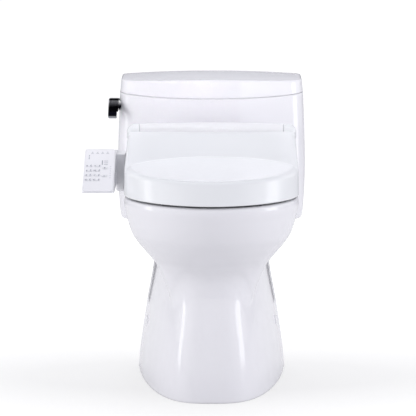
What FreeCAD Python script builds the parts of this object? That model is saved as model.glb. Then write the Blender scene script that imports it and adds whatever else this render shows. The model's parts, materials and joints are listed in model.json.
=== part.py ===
# Bidet toilet: a one-piece skirted china toilet with an electronic bidet seat.
# Millimetres. +Z up, the user faces -Y, the wall is on the +Y side.
# The origin is the centre of the waste outlet at the floor.
import FreeCAD, Part
import math
import os
import re
import Sketcher
from FreeCAD import Placement, Rotation, Vector

os.makedirs("parts", exist_ok=True)
doc = FreeCAD.newDocument("bidet_toilet")
sheet = doc.addObject("Spreadsheet::Sheet", "Dimensions")

# Driving dimensions. A value that starts with = is worked out from the others.
DIMENSIONS = [
    # Main sizes
    ("overall_height", 656),
    ("rim_height", 427),
    ("overrun", 1),
    # China foot
    ("base_half", 162),
    ("base_reach", 332),
    ("base_back", 160),
    ("foot_widest_place", 85),
    ("waist_half", 125),
    ("waist_reach", 297),
    ("waist_drop", 173),
    ("waist_height", "=rim_height - waist_drop"),
    ("foot_top_drop", 82),
    ("foot_top", "=rim_height - foot_top_drop"),
    ("china_wall", 11),
    ("foot_cavity_drop", 142),
    ("foot_cavity_top", "=rim_height - foot_cavity_drop"),
    # China bowl
    ("bowl_half", 186),
    ("bowl_reach", 424),
    ("bowl_deep", 232),
    ("bowl_widest_place", -212),
    ("bowl_side_place", -60),
    ("bowl_rear_place", 60),
    ("bowl_back", 160),
    ("rim_roof", 16),
    ("bowl_cavity_back", 70),
    ("bowl_cavity_drop", 177),
    ("bowl_cavity_low", "=rim_height - bowl_cavity_drop"),
    ("opening_half", 118),
    ("opening_length", 270),
    ("opening_centre", -235),
    ("well_drop", 262),
    # Waterways
    ("outlet_bore", 26),
    ("outlet_wall", 9),
    ("sump_place", -205),
    ("sump_drop", 249),
    ("sump_height", "=rim_height - sump_drop"),
    ("dip_place", -140),
    ("dip_drop", 259),
    ("dip_height", "=rim_height - dip_drop"),
    ("dip_bend", 62),
    ("weir_place", -22),
    ("weir_drop", 137),
    ("weir_height", "=rim_height - weir_drop"),
    ("weir_bend", 52),
    ("fall_place", 78),
    ("fall_drop", 149),
    ("fall_height", "=rim_height - fall_drop"),
    ("fall_bend", 48),
    ("return_place", 72),
    ("return_height", 118),
    ("return_bend", 60),
    ("outlet_rise", 62),
    ("outlet_bend", 44),
    ("flush_bore", 22),
    ("flush_start", 195),
    ("flush_drop", 105),
    ("flush_height", "=rim_height - flush_drop"),
    ("flush_run", 315),
    ("flush_rise", 62),
    ("flush_length", 330),
    ("valve_hole", 31),
    ("valve_hole_drop", 127),
    ("valve_hole_bottom", "=rim_height - valve_hole_drop"),
    # Tank
    ("tank_half", 211.5),
    ("tank_front", 90),
    ("tank_back", 290),
    ("tank_corner_place", 180),
    ("tank_floor_drop", 88),
    ("tank_floor", "=rim_height - tank_floor_drop"),
    ("tank_floor_rib", 3),
    ("tank_floor_thick", "=china_wall + tank_floor_rib"),
    ("tank_foot_rise", 14),
    ("tank_full_rise", 112),
    ("tank_taper_rise", 190),
    ("tank_over", 25),
    ("seam_drop", 48),
    ("seam_height", "=overall_height - seam_drop"),
    ("seam_rise", 9.5),
    ("seam_rear_rise", 7),
    ("seam_rear", "=seam_height + seam_rear_rise"),
    # Tank lid
    ("lid_gap", 0.5),
    ("tank_lid_half", 206),
    ("tank_lid_set", 2),
    ("tank_lid_front", "=tank_front - tank_lid_set"),
    ("tank_lid_draw", 1),
    ("tank_lid_skirt", 25),
    ("tank_lid_over", 10),
    ("tank_lid_crown", 2800),
    ("tank_lid_crown_set", 10),
    ("tank_lid_round", 4),
    ("tank_lid_roof", 26),
    ("tank_lid_inside", 14),
    ("lip_clearance", 3),
    ("lip_set", 4),
    ("lip_drop", 5),
    ("lip_rise", 15),
    # Flush lever
    ("lever_place", 160),
    ("lever_drop_from_seam", 18),
    ("lever_height", "=seam_height - lever_drop_from_seam"),
    ("lever_reach", 52),
    ("lever_drop", 19),
    ("lever_top", 13.5),
    ("lever_rear", 13),
    ("lever_rear_low", 7),
    ("lever_shoulder", 10),
    ("lever_throat", 12),
    ("lever_tip_over", 2),
    ("lever_tip_long", 6),
    ("lever_tip_high", 6),
    ("lever_tip_low", 8),
    ("lever_tip_under", 10),
    ("lever_outer", 231.5),
    ("lever_inner", 209.2),
    ("lever_standoff", 3.2),
    ("lever_hold_low", 12),
    ("lever_hold_long", 20),
    ("lever_round", 4),
    ("spindle_radius", 5),
    ("spindle_clearance", 0.3),
    ("lever_arm_side", 173),
    ("lever_arm_thick", 5),
    ("lever_arm_tail", 9),
    ("lever_arm_half", 5),
    ("lever_rail_half", 4),
    ("lever_rail_half_tall", 3),
    ("lever_hole", 10),
    ("escutcheon_radius", 13),
    ("escutcheon_spot", 17),
    ("escutcheon_set", 5),
    ("escutcheon_gap", 0.4),
    ("bush_radius", 9.5),
    ("bush_set", 32),
    ("bush_clearance", 0.1),
    ("lever_nut_radius", 15),
    ("lever_nut_spot", 19),
    ("lever_nut_set", 15.5),
    ("lever_nut_thick", 6.5),
    ("lever_nut_room", 60),
    ("chain_place", 235),
    ("chain_radius", 1.2),
    ("chain_gap", 0.3),
    # Flush valve
    ("valve_place", 190),
    ("valve_throat", 26),
    ("valve_tail", 14),
    ("valve_tail_radius", 30.4),
    ("valve_flange_radius", 42),
    ("valve_flange_thick", 5),
    ("valve_neck_rise", 2),
    ("valve_seat_radius", 32),
    ("valve_seat_rise", 33),
    ("valve_seat_height", "=tank_floor + valve_seat_rise"),
    ("valve_lip", 3),
    ("valve_lip_tall", 2),
    ("valve_throat_drop", 7),
    ("overflow_place", 132),
    ("overflow_radius", 14),
    ("overflow_wall", 2.5),
    ("overflow_drop", 60),
    ("overflow_height", "=seam_height - overflow_drop"),
    ("overflow_sill", 4),
    ("overflow_foot_half", 16),
    ("overflow_foot_set", 30),
    ("overflow_foot_drop", 6),
    ("flapper_hinge_place", 152),
    ("flapper_hinge_rise", 14),
    ("flapper_hinge_height", "=valve_seat_height + flapper_hinge_rise"),
    ("peg_radius", 2.8),
    ("peg_reach", 24),
    ("peg_web_half", 13),
    ("peg_web_front", 4),
    ("peg_web_half_tall", 5),
    ("flapper_over", 4),
    ("flapper_set", 6),
    ("flapper_gap", 0.2),
    ("flapper_crown_rise", 1.2),
    ("flapper_rim", 4),
    ("flapper_shoulder", 9),
    ("flapper_shoulder_set", 8),
    ("flapper_top", 13),
    ("flapper_arm_in", 15),
    ("flapper_arm_out", 21),
    ("flapper_arm_front", 3),
    ("flapper_arm_back", 6),
    ("flapper_arm_low", 12),
    ("flapper_arm_high", 3),
    ("flapper_eye", 6.5),
    ("flapper_eye_clearance", 0.4),
    ("flapper_tail_half", 4),
    ("flapper_tail_start", 24),
    ("flapper_tail_over", 3),
    ("flapper_tail_low", 1),
    ("flapper_tail_high", 6),
    # Fill valve
    ("fill_side", 150),
    ("fill_bore", 4),
    ("shank_radius", 11.1),
    ("shank_drop", 46),
    ("shank_plain_drop", 12),
    ("shank_step", 0.3),
    ("shank_clearance", 1),
    ("fill_flange_radius", 19),
    ("fill_flange_thick", 5),
    ("fill_boss_radius", 16),
    ("fill_boss_rise", 2),
    ("float_seat_gap", 0.1),
    ("column_radius", 13),
    ("head_drop", 103),
    ("head_height", "=seam_height - head_drop"),
    ("head_radius", 22),
    ("head_slope", 4),
    ("head_tall", 44),
    ("cap_over", 1),
    ("cap_rim", 6),
    ("cap_set", 4),
    ("cap_shoulder", 11),
    ("cap_tall", 12),
    ("locknut_half", 17),
    ("locknut_tall", 10),
    ("locknut_clearance", 0.4),
    ("float_radius", 33),
    ("float_rise", 46),
    ("float_low", "=tank_floor + float_rise"),
    ("float_tall", 45),
    ("float_round", 6),
    ("float_clearance", 0.6),
    # Refill tube
    ("refill_radius", 3.5),
    ("refill_gap", 0.3),
    ("refill_port_rise", 30),
    ("refill_run", 30),
    ("refill_run_bend", 18),
    ("refill_rise_side", 60),
    ("refill_rise_place", 165),
    ("refill_rise_bend", 24),
    ("refill_over", 26),
    ("refill_end_side", 10),
    ("refill_end_place", 136),
    ("refill_end_bend", 10),
    ("refill_drop", 22),
    ("refill_drop_bend", 14),
    ("refill_inside", 40),
    # Side fixings
    ("fixing_place", 10),
    ("fixing_height", 122),
    ("fixing_hole", 5),
    ("bracket_inner", 70),
    ("bracket_outer", 121),
    ("bracket_post", 103),
    ("bracket_half", 30),
    ("bracket_thick", 8),
    ("bracket_post_half", 14),
    ("bracket_over", 12),
    ("bracket_hole", 4.2),
    ("floor_screw_side", 86),
    ("floor_screw_radius", 3),
    ("floor_screw_clearance", 0.2),
    ("floor_screw_head", 7),
    ("floor_screw_head_top", 6),
    ("floor_screw_head_tall", 4),
    ("side_screw_radius", 4),
    ("side_screw_long", 34),
    ("side_screw_head", 7),
    ("side_screw_head_top", 6),
    ("side_screw_head_rise", 2.6),
    ("side_screw_head_tall", 3),
    ("side_cap_radius", 11),
    ("side_cap_clearance", 0.5),
    ("side_cap_seat", 2),
    ("side_cap_inner", 8),
    ("side_cap_room", 3.4),
    ("side_cap_edge", 2.5),
    ("side_cap_shoulder", 4.6),
    ("side_cap_tall", 5.2),
    # Mounting plate of the seat
    ("plate_half", 84),
    ("plate_front", 4),
    ("plate_back", 76),
    ("plate_thick", 4),
    ("plate_round", 6),
    ("rail_half", 40),
    ("rail_rise", 6),
    ("rail_set", 2),
    ("bolt_side", 70),
    ("bolt_place", 48),
    ("bolt_radius", 4),
    ("bolt_clearance", 0.4),
    ("bolt_long", 34),
    ("bolt_head", 9),
    ("bolt_head_top", 7),
    ("bolt_head_tall", 4),
    ("sleeve_clearance", 0.2),
    ("sleeve_radius", 7.9),
    ("sleeve_bottom", 33),
    ("sleeve_top", 1),
    ("sleeve_hole", 8),
    ("sleeve_hole_deep", 38),
    ("bolt_boss_radius", 18),
    ("bolt_boss_deep", 55),
    # Bidet unit
    ("unit_half", 182),
    ("unit_front", -10),
    ("unit_back", 78),
    ("unit_bottom", "=rim_height + plate_thick"),
    ("unit_split_rise", 43),
    ("unit_split", "=rim_height + unit_split_rise"),
    ("unit_shoulder_rise", 79),
    ("unit_shoulder", "=rim_height + unit_shoulder_rise"),
    ("unit_round", 8),
    ("unit_front_round", 6),
    ("shell_wall", 3),
    ("unit_floor", "=unit_bottom + rail_rise + shell_wall"),
    ("nose_half", 84),
    ("nose_front", -92),
    ("nose_rise", 59),
    ("nose_top", "=rim_height + nose_rise"),
    ("groove_side_clearance", 2),
    ("groove_front_clearance", 4),
    ("wand_slot_clearance", 3),
    ("wand_slot_deep", 34),
    ("wand_slot_rise", 12),
    # Hinge barrel
    ("barrel_place", 20),
    ("barrel_rise", 110),
    ("barrel_height", "=rim_height + barrel_rise"),
    ("barrel_radius", 25.5),
    ("barrel_end_radius", 22.5),
    ("barrel_half", 158),
    ("running_gap", 0.8),
    ("saddle_set", 4),
    ("saddle_back_set", 12),
    ("saddle_back_drop", 10),
    ("saddle_half", 14),
    ("saddle_rise", 8),
    ("damper_radius", 9),
    ("damper_clearance", 0.3),
    ("damper_long", 58),
    ("damper_end_gap", 1),
    ("lid_pin_radius", 5),
    ("lid_pin_clearance", 0.2),
    ("lid_pin_root", 5),
    ("lid_pin_set", 3),
    ("lid_pin_hole_set", 2),
    # Lid
    ("lid_half", 187),
    ("lid_reach", 427),
    ("lid_bottom_rise", 4),
    ("lid_bottom", "=rim_height + lid_bottom_rise"),
    ("lid_front_rise", 53),
    ("lid_front_height", "=rim_height + lid_front_rise"),
    ("lid_rim", 20),
    ("lid_wall", 3),
    ("lid_lean", 14),
    ("lid_side_lean", 1),
    ("lid_side_back", 0),
    ("lid_room_back", 30),
    ("lid_round", 8),
    ("lid_high_rise", 60),
    ("oval_half", 191),
    ("oval_length", 199),
    ("oval_centre", -291),
    ("rise_place", -2),
    ("rise_rise", 8),
    ("rise_height", "=barrel_height + rise_rise"),
    ("above_front", 40),
    ("above_back", 40),
    ("above_top", 20),
    ("plan_side_near", 55),
    ("plan_side_far", 105),
    ("ear_web_set", 34),
    ("ear_web_deep", 24),
    ("ear_web_drop", 18),
    ("ear_web_tall", 16),
    ("lid_bumper_radius", 6),
    ("lid_bumper_long", 60),
    ("lid_bumper_gap", 0.3),
    ("lid_bumper_front_side", 110),
    ("lid_bumper_front_place", -330),
    ("lid_bumper_back_side", 140),
    ("lid_bumper_back_place", -170),
    # Seat ring
    ("seat_half", 180),
    ("seat_narrow", 14),
    ("seat_set", 19),
    ("seat_reach", "=lid_reach - seat_set"),
    ("seat_bumper_tall", 7.5),
    ("seat_bottom", "=rim_height + seat_bumper_tall"),
    ("seat_split_rise", 22),
    ("seat_split", "=rim_height + seat_split_rise"),
    ("seat_top_rise", 39),
    ("seat_top", "=rim_height + seat_top_rise"),
    ("seat_round", 7),
    ("seat_opening_half", 112),
    ("seat_opening_length", 250),
    ("seat_back", -46),
    ("seat_gap_clearance", 3),
    ("seat_gap_start", 60),
    ("seat_hinge_place", -32),
    ("seat_hinge_drop", 4),
    ("seat_hinge_height", "=seat_top - seat_hinge_drop"),
    ("seat_eye_radius", 11),
    ("seat_eye_side", 88),
    ("seat_eye_long", 28),
    ("seat_web_set", 26),
    ("seat_web_deep", 22),
    ("seat_web_drop", 10),
    ("seat_web_tall", 12),
    ("seat_pin_radius", 5),
    ("seat_pin_clearance", 0.2),
    ("seat_pin_end", 106),
    ("seat_pin_inside", 18),
    ("seat_bumper_half", 9),
    ("seat_bumper_half_long", 14),
    ("seat_bumper_front_side", 95),
    ("seat_bumper_front_place", -360),
    ("seat_bumper_back_side", 150),
    ("seat_bumper_back_place", -150),
    # Inside the unit
    ("heater_inner", 86),
    ("heater_outer", 150),
    ("heater_front", 2),
    ("heater_back", 66),
    ("heater_tall", 52),
    ("heater_round", 6),
    ("pump_inner", 34),
    ("pump_outer", 78),
    ("pump_front", 8),
    ("pump_back", 58),
    ("pump_tall", 34),
    ("motor_radius", 15),
    ("motor_side", 56),
    ("motor_place", 34),
    ("motor_overlap", 4),
    ("motor_tall", 26),
    ("board_inner", 34),
    ("board_outer", 110),
    ("board_front", 4),
    ("board_back", 70),
    ("board_thick", 8),
    ("fan_side", 84),
    ("fan_place", 38),
    ("fan_radius", 22),
    ("fan_tall", 22),
    ("fan_chamfer", 3),
    # Nozzle
    ("wand_radius", 7),
    ("wand_length", 112),
    ("wand_place", -88),
    ("wand_rise", 17),
    ("wand_height", "=rim_height + wand_rise"),
    ("wand_head_long", 16),
    ("wand_tip_long", 4),
    ("wand_tip_draw", 3),
    ("spray_radius", 1.6),
    ("spray_set", 9),
    ("spray_deep", 2),
    ("guide_half", 12),
    ("guide_long", 74),
    ("guide_set", 4),
    ("guide_clearance", 0.4),
    ("guide_room_half", 20),
    ("guide_room_gap", 2),
    ("guide_room_roof", 1),
    ("guide_room_back", 10),
    ("guide_foot_front", -4),
    ("guide_foot_long", 14),
    ("guide_foot_tall", 26),
    # Deodoriser drawer and release button
    ("drawer_deep", 62),
    ("drawer_front", 23.6),
    ("drawer_back", 66.4),
    ("drawer_low_rise", 13.6),
    ("drawer_low", "=rim_height + drawer_low_rise"),
    ("drawer_high_rise", 39),
    ("drawer_high", "=rim_height + drawer_high_rise"),
    ("drawer_clearance", 0.6),
    ("mouth_gap", 0.5),
    ("drawer_room", 2),
    ("drawer_wall", 2.4),
    ("drawer_end", 4),
    ("drawer_face", 5),
    ("filter_gap", 1),
    ("filter_tall", 18),
    ("button_front", 6.8),
    ("button_back", 19.2),
    ("button_low_rise", 19),
    ("button_low", "=rim_height + button_low_rise"),
    ("button_tall", 10),
    ("button_clearance", 0.8),
    ("button_deep", 6),
    ("button_proud", 2.5),
    ("button_room", 2),
    # Water inlet, strainer and cord gland
    ("inlet_side", -226),
    ("inlet_place", 48),
    ("inlet_drop", 11),
    ("inlet_height", "=rim_height - inlet_drop"),
    ("inlet_bore", 4.5),
    ("inlet_tip", 9.5),
    ("inlet_radius", 10.2),
    ("inlet_chamfer", 1),
    ("inlet_thread", 18),
    ("inlet_tall", 24),
    ("inlet_flange", 13),
    ("inlet_clearance", 0.2),
    ("strainer_side", -200),
    ("strainer_rise", 35),
    ("strainer_height", "=rim_height + strainer_rise"),
    ("strainer_radius", 8.5),
    ("strainer_head", 6),
    ("strainer_chamfer", 1),
    ("strainer_neck", 6.5),
    ("strainer_long", 16),
    ("strainer_proud", 14),
    ("gland_side", 150),
    ("gland_rise", 28),
    ("gland_height", "=rim_height + gland_rise"),
    ("gland_bore", 3.6),
    ("gland_radius", 9),
    ("gland_flange", 4),
    ("gland_neck", 6.5),
    ("gland_long", 14),
    # Control arm
    ("arm_outer", -276),
    ("arm_inner", -209),
    ("arm_front", -232),
    ("arm_back", 66),
    ("arm_bottom_rise", 3),
    ("arm_bottom", "=rim_height + arm_bottom_rise"),
    ("arm_chin", 52),
    ("arm_chin_rise", 6.6),
    ("arm_brow", 14),
    ("arm_brow_rise", 3),
    ("arm_crown_set", 40),
    ("arm_crown_rise", 62),
    ("arm_heel_set", 6),
    ("arm_heel_rise", 52),
    ("arm_rear_rise", 40),
    ("arm_round", 5),
    ("neck_overlap", 4),
    ("neck_front", 4),
    ("neck_set", 2),
    ("neck_low", 2),
    ("neck_top_rise", 70),
    ("neck_top", "=rim_height + neck_top_rise"),
    ("cheek_gap", 3),
    ("cheek_front", 30),
    ("cheek_back", 5),
    # Control panel
    ("panel_front_place", -230),
    ("panel_front_rise", 12.5),
    ("panel_front_height", "=rim_height + panel_front_rise"),
    ("panel_length", 184),
    ("panel_half", 31),
    ("panel_thick", 2),
    ("panel_round", 4),
    ("panel_margin", 1),
    ("well_start", 40),
    ("well_long", 82),
    ("well_margin", 2),
    ("mat_gap", 1),
    ("mat_drop", 4.2),
    ("mat_thick", 1.6),
    ("well_deep", "=mat_drop + mat_thick"),
    ("lamp_radius", 1.3),
    ("lamp_inner_side", 5.5),
    ("lamp_outer_side", 16.5),
    ("lamp_set", 10),
    ("key_long", 11),
    ("key_wide", 8),
    ("key_proud", 0.9),
    ("key_flange", 1.2),
    ("key_flange_thick", 0.9),
    ("key_root", 0.5),
    ("key_clearance", 0.3),
    ("key_round", 0.5),
    ("key_first_row", 50),
    ("key_pitch", 20.5),
    ("key_outer_column", -22),
    ("key_inner_column", -3),
    ("side_key_column", 12),
    ("side_key_low", 68),
    ("side_key_high", 103),
]

ALIASES = {name for name, value in DIMENSIONS}

# Angles in degrees
LID_FLAT_SLOPE = 3.53
PANEL_SLOPE = 22.5
WAND_SLOPE = 18
QUARTER_TURN = 90
FULL_TURN = 360


def cells(text):
    """Turns plain names in a formula into cells of the sheet."""
    def reference(match):
        word = match.group(0)
        return "Dimensions." + word if word in ALIASES else word
    return re.sub(r"[A-Za-z_][A-Za-z0-9_]*", reference, str(text))


def fill_sheet():
    for row, (name, value) in enumerate(DIMENSIONS, start=1):
        sheet.set(f"A{row}", name)
        sheet.set(f"B{row}", str(value))
        sheet.setAlias(f"B{row}", name)
    doc.recompute()


fill_sheet()


def size(text):
    """Value of a formula of the sheet's names, for the pieces with free forms."""
    def number(match):
        word = match.group(0)
        return repr(float(sheet.get(word))) if word in ALIASES else word
    formula = re.sub(r"[A-Za-z_][A-Za-z0-9_]*", number, str(text))
    return FreeCAD.Units.Quantity(f"({formula})").Value


def sizes(*formulas):
    return [size(formula) for formula in formulas]


# Primitives and booleans bound to the sheet

exported = []


def keep(item):
    """Marks a finished sub-part: its label names its file."""
    exported.append(item)
    return item


def bind(item, **formulas):
    for name, formula in formulas.items():
        item.setExpression(name.replace("__", "."), cells(formula))


def box(label, x, y, z):
    """Box between two places on each axis, each pair given as formulas."""
    item = doc.addObject("Part::Box", label)
    bind(item, Length=f"({x[1]}) - ({x[0]})", Width=f"({y[1]}) - ({y[0]})", Height=f"({z[1]}) - ({z[0]})")
    bind(item, Placement__Base__x=x[0], Placement__Base__y=y[0], Placement__Base__z=z[0])
    return item


TURNS = {
    "X": Rotation(Vector(0, 1, 0), QUARTER_TURN),
    "Y": Rotation(Vector(1, 0, 0), -QUARTER_TURN),
    "-Y": Rotation(Vector(1, 0, 0), QUARTER_TURN),
    "Z": Rotation(),
}


def rod(label, axis, radius, start, end, centre):
    """Cylinder along an axis; centre holds its other two coordinates in order."""
    item = doc.addObject("Part::Cylinder", label)
    item.Placement = Placement(Vector(), TURNS[axis])
    bind(item, Radius=radius, Height=f"({end}) - ({start})")
    places = {"X": (start, *centre), "Y": (centre[0], start, centre[1]), "Z": (*centre, start)}[axis]
    bind(item, Placement__Base__x=places[0], Placement__Base__y=places[1], Placement__Base__z=places[2])
    return item


def fuse(label, *pieces):
    item = doc.addObject("Part::MultiFuse", label)
    item.Shapes = list(pieces)
    item.Refine = True
    return item


def cut(label, base, *tools):
    item = doc.addObject("Part::Cut", label)
    item.Base = base
    item.Tool = tools[0] if len(tools) == 1 else fuse(label + "_tools", *tools)
    item.Refine = True
    return item


def group(label, *pieces):
    """Separate solids that share a node."""
    item = doc.addObject("Part::Compound", label)
    item.Links = list(pieces)
    return item


def free(label, shape):
    item = doc.addObject("Part::Feature", label)
    item.Shape = shape
    return item


def span(side, near, far):
    """Pair of places on the X axis, mirrored to the given side."""
    return (near, far) if side > 0 else (f"-({far})", f"-({near})")


SIDES = (("left", -1), ("right", 1))


# Bodies with sketches

def plane(item, role):
    return [feature for feature in item.Origin.OriginFeatures if feature.Role == role][0]


def sketch(item, label, role, offset="0"):
    drawn = item.newObject("Sketcher::SketchObject", label)
    drawn.AttachmentSupport = [(plane(item, role), "")]
    drawn.MapMode = "FlatFace"
    drawn.setExpression("AttachmentOffset.Base.z", cells(offset))
    return drawn


def polygon(drawn, points):
    """Closed outline whose corners are bound to the sheet."""
    places = [Vector(size(x), size(y), 0) for x, y in points]
    first = drawn.GeometryCount
    for index, place in enumerate(places):
        drawn.addGeometry(Part.LineSegment(place, places[(index + 1) % len(places)]), False)
    for index in range(len(places)):
        following = first + (index + 1) % len(places)
        drawn.addConstraint(Sketcher.Constraint("Coincident", first + index, 2, following, 1))
    for index, (x, y) in enumerate(points):
        for kind, formula, value in (("DistanceX", x, places[index].x), ("DistanceY", y, places[index].y)):
            number = drawn.addConstraint(Sketcher.Constraint(kind, -1, 1, first + index, 1, value))
            drawn.setExpression(f"Constraints[{number}]", cells(formula))


def circle(drawn, radius, x="0", y="0"):
    centre = Vector(size(x), size(y), 0)
    index = drawn.addGeometry(Part.Circle(centre, ALONG_Z, size(radius)), False)
    number = drawn.addConstraint(Sketcher.Constraint("Radius", index, size(radius)))
    drawn.setExpression(f"Constraints[{number}]", cells(radius))
    for kind, formula, value in (("DistanceX", x, centre.x), ("DistanceY", y, centre.y)):
        number = drawn.addConstraint(Sketcher.Constraint(kind, -1, 1, index, 3, value))
        drawn.setExpression(f"Constraints[{number}]", cells(formula))


def padded(label, role, points, length, offset="0", holes=()):
    """Body with one pad of a closed outline and round holes."""
    item = doc.addObject("PartDesign::Body", label)
    drawn = sketch(item, label + "_outline", role, offset)
    polygon(drawn, points)
    for hole in holes:
        circle(drawn, *hole)
    pad = item.newObject("PartDesign::Pad", label + "_pad")
    pad.Profile = (drawn, [""])
    pad.setExpression("Length", cells(length))
    doc.recompute()
    return item


def turned(label, points, x="0", y="0", z="0", axis="Z"):
    """Body turned about its own axis from an outline of radius and height."""
    item = doc.addObject("PartDesign::Body", label)
    drawn = sketch(item, label + "_outline", "XZ_Plane")
    polygon(drawn, points)
    turning = item.newObject("PartDesign::Revolution", label + "_turning")
    turning.Profile = (drawn, [""])
    turning.ReferenceAxis = (drawn, ["V_Axis"])
    turning.Angle = FULL_TURN
    item.Placement = Placement(Vector(), TURNS[axis])
    bind(item, Placement__Base__x=x, Placement__Base__y=y, Placement__Base__z=z)
    doc.recompute()
    return item


def moved(item, placement):
    """Gives a turned body a place that no single cell holds."""
    for axis in "xyz":
        item.setExpression(f"Placement.Base.{axis}", None)
    item.Placement = placement
    return item


def rounded(item, radius, chosen):
    """Rounds the edges of a body that a test on the edge chooses."""
    base = item.Tip
    names = [f"Edge{n}" for n, edge in enumerate(base.Shape.Edges, start=1) if chosen(edge)]
    fillet = item.newObject("PartDesign::Fillet", item.Label + "_rounding")
    fillet.Base = (base, names)
    fillet.setExpression("Radius", cells(radius))
    item.Tip = fillet
    doc.recompute()
    return item


ALONG_X = Vector(1, 0, 0)
ALONG_Z = Vector(0, 0, 1)
TINY_SHARE = 0.001


def straight(axis):
    """Test for straight edges along an axis."""
    def chosen(edge):
        return isinstance(edge.Curve, Part.Line) and edge.Curve.Direction.cross(axis).Length < TINY_SHARE
    return chosen


def flat_across(edge):
    """An edge that keeps one distance from the middle."""
    return edge.BoundBox.XLength < TINY_SHARE


# Helpers for free forms

def block(x, y, z):
    """Box between two values on each axis."""
    return Part.makeBox(x[1] - x[0], y[1] - y[0], z[1] - z[0], Vector(x[0], y[0], z[0]))


def closed_spline(right):
    """Symmetric outline through the points of its right half, front to back, closed by a straight back."""
    left = [Vector(-point.x, point.y, point.z) for point in reversed(right[1:])]
    points = left + right
    curve = Part.BSplineCurve()
    curve.interpolate(points)
    return Part.Wire([curve.toShape(), Part.makeLine(points[-1], points[0])])


def egg_outline(height, half, reach, widest, sides, power, steps):
    """Outline with a rounded front and sides through the given half-widths, the last one at the back."""
    right = []
    for step in range(steps):
        turn = math.pi / 2 * step / steps
        across = half * math.sin(turn) ** (2 / power)
        along = widest + (-reach - widest) * math.cos(turn) ** (2 / power)
        right.append(Vector(across, along, height))
    right.append(Vector(half, widest, height))
    return closed_spline(right + [Vector(side, place, height) for side, place in sides])


def loft(outlines):
    return Part.makeLoft(outlines, True, False)


def ellipse(height, centre, half, length):
    """Ellipse across X and along Y at a height."""
    middle = Vector(0, centre, height)
    side, end = Vector(half, centre, height), Vector(0, centre + length, height)
    curve = Part.Ellipse(end, side, middle) if length > half else Part.Ellipse(side, end, middle)
    return Part.Wire(curve.toShape())


def rounded_path(points, radii):
    """Straight runs joined by tangent arcs."""
    edges = []
    start = points[0]
    for index in range(1, len(points) - 1):
        before = (points[index - 1] - points[index]).normalize()
        after = (points[index + 1] - points[index]).normalize()
        half_turn = (math.pi - before.getAngle(after)) / 2
        back = radii[index - 1] * math.tan(half_turn)
        enter = points[index] + before * back
        leave = points[index] + after * back
        out = radii[index - 1] / math.cos(half_turn) - radii[index - 1]
        middle = points[index] + (before + after).normalize() * out
        edges.append(Part.makeLine(start, enter))
        edges.append(Part.Arc(enter, middle, leave).toShape())
        start = leave
    edges.append(Part.makeLine(start, points[-1]))
    return Part.Wire(edges)


def tube(path, radius):
    first = path.Edges[0]
    start = first.valueAt(first.FirstParameter)
    along = first.tangentAt(first.FirstParameter)
    ring = Part.Wire(Part.makeCircle(radius, start, along))
    return path.makePipeShell([ring], True, False)


# China foot and bowl

FOOT_PLACE_SHARES = [0, 0.006, 0.03, 0.09, 0.2, 0.38, 0.62, 0.84, 1]
FOOT_LENGTHWISE_POWER = 1.4
FOOT_CROSSWISE_POWER = 3
FOOT_LEVEL_SHARES = [0, 0.177, 0.532]
FOOT_HALF_SHARES = [1, 0.975, 0.895]
FOOT_REACH_SHARES = [1, 0.991, 0.958]
NECK_HALF_SHARE = 0.95
NECK_REACH_SHARE = 0.9


def foot_outline(height, half, reach, inset):
    """One level of the skirted foot: blunt in front, widening to its back."""
    back = size("base_back") - inset
    rear = size("foot_widest_place")
    half, reach = half - inset, reach - inset
    right = []
    for share in FOOT_PLACE_SHARES:
        across = half * (1 - (1 - share) ** FOOT_LENGTHWISE_POWER) ** (1 / FOOT_CROSSWISE_POWER)
        right.append(Vector(across, -reach + share * (reach + rear), height))
    return closed_spline(right + [Vector(half, (rear + back) / 2, height), Vector(half, back, height)])


def pedestal(inset=0, bottom=0):
    """Skirted foot, upright at the floor, drawn in to the waist and the neck above it."""
    half, reach, waist_height = sizes("base_half", "base_reach", "waist_height")
    waist_half, waist_reach = sizes("waist_half", "waist_reach")
    levels = [
        (waist_height * level_share or bottom, half * half_share, reach * reach_share)
        for level_share, half_share, reach_share in zip(FOOT_LEVEL_SHARES, FOOT_HALF_SHARES,
                                                        FOOT_REACH_SHARES)
    ]
    levels.append((waist_height, waist_half, waist_reach))
    levels.append((size("foot_top"), waist_half * NECK_HALF_SHARE, waist_reach * NECK_REACH_SHARE))
    return loft([foot_outline(*level, inset) for level in levels])


BOWL_DROP_SHARES = [1, 0.871, 0.754, 0.621, 0.526, 0.431, 0.328, 0.164, 0.043, 0]
BOWL_HALF_SHARES = [0.46, 0.505, 0.56, 0.64, 0.73, 0.83, 0.914, 0.975, 1, 0.985]
BOWL_REACH_SHARES = [0.66, 0.688, 0.712, 0.765, 0.825, 0.88, 0.93, 0.978, 1, 0.993]
BOWL_REAR_SHARES = [0.368, 0.404, 0.448, 0.544, 0.62, 0.714, 0.9, 0.96, 0.99, 0.985]
SIDE_MIX_SHARE = 0.6
BOWL_POWER = 1.85
BOWL_STEPS = 5


def bowl_outer(inset=0):
    """Outside of the bowl from its root in the foot up to the rim."""
    half, reach, rim, deep = sizes("bowl_half", "bowl_reach", "rim_height", "bowl_deep")
    widest = size("bowl_widest_place")
    outlines = []
    for drop, half_share, reach_share, rear_share in zip(
            BOWL_DROP_SHARES, BOWL_HALF_SHARES, BOWL_REACH_SHARES, BOWL_REAR_SHARES):
        side = half * half_share - inset
        rear = half * rear_share - inset
        between = side * SIDE_MIX_SHARE + rear * (1 - SIDE_MIX_SHARE)
        sides = [(between, size("bowl_side_place")), (rear, size("bowl_rear_place")),
                 (rear, size("bowl_back"))]
        outline = egg_outline(rim - deep * drop, side, reach * reach_share - inset, widest, sides,
                              BOWL_POWER, BOWL_STEPS)
        outlines.append(outline)
    return loft(outlines)


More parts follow.
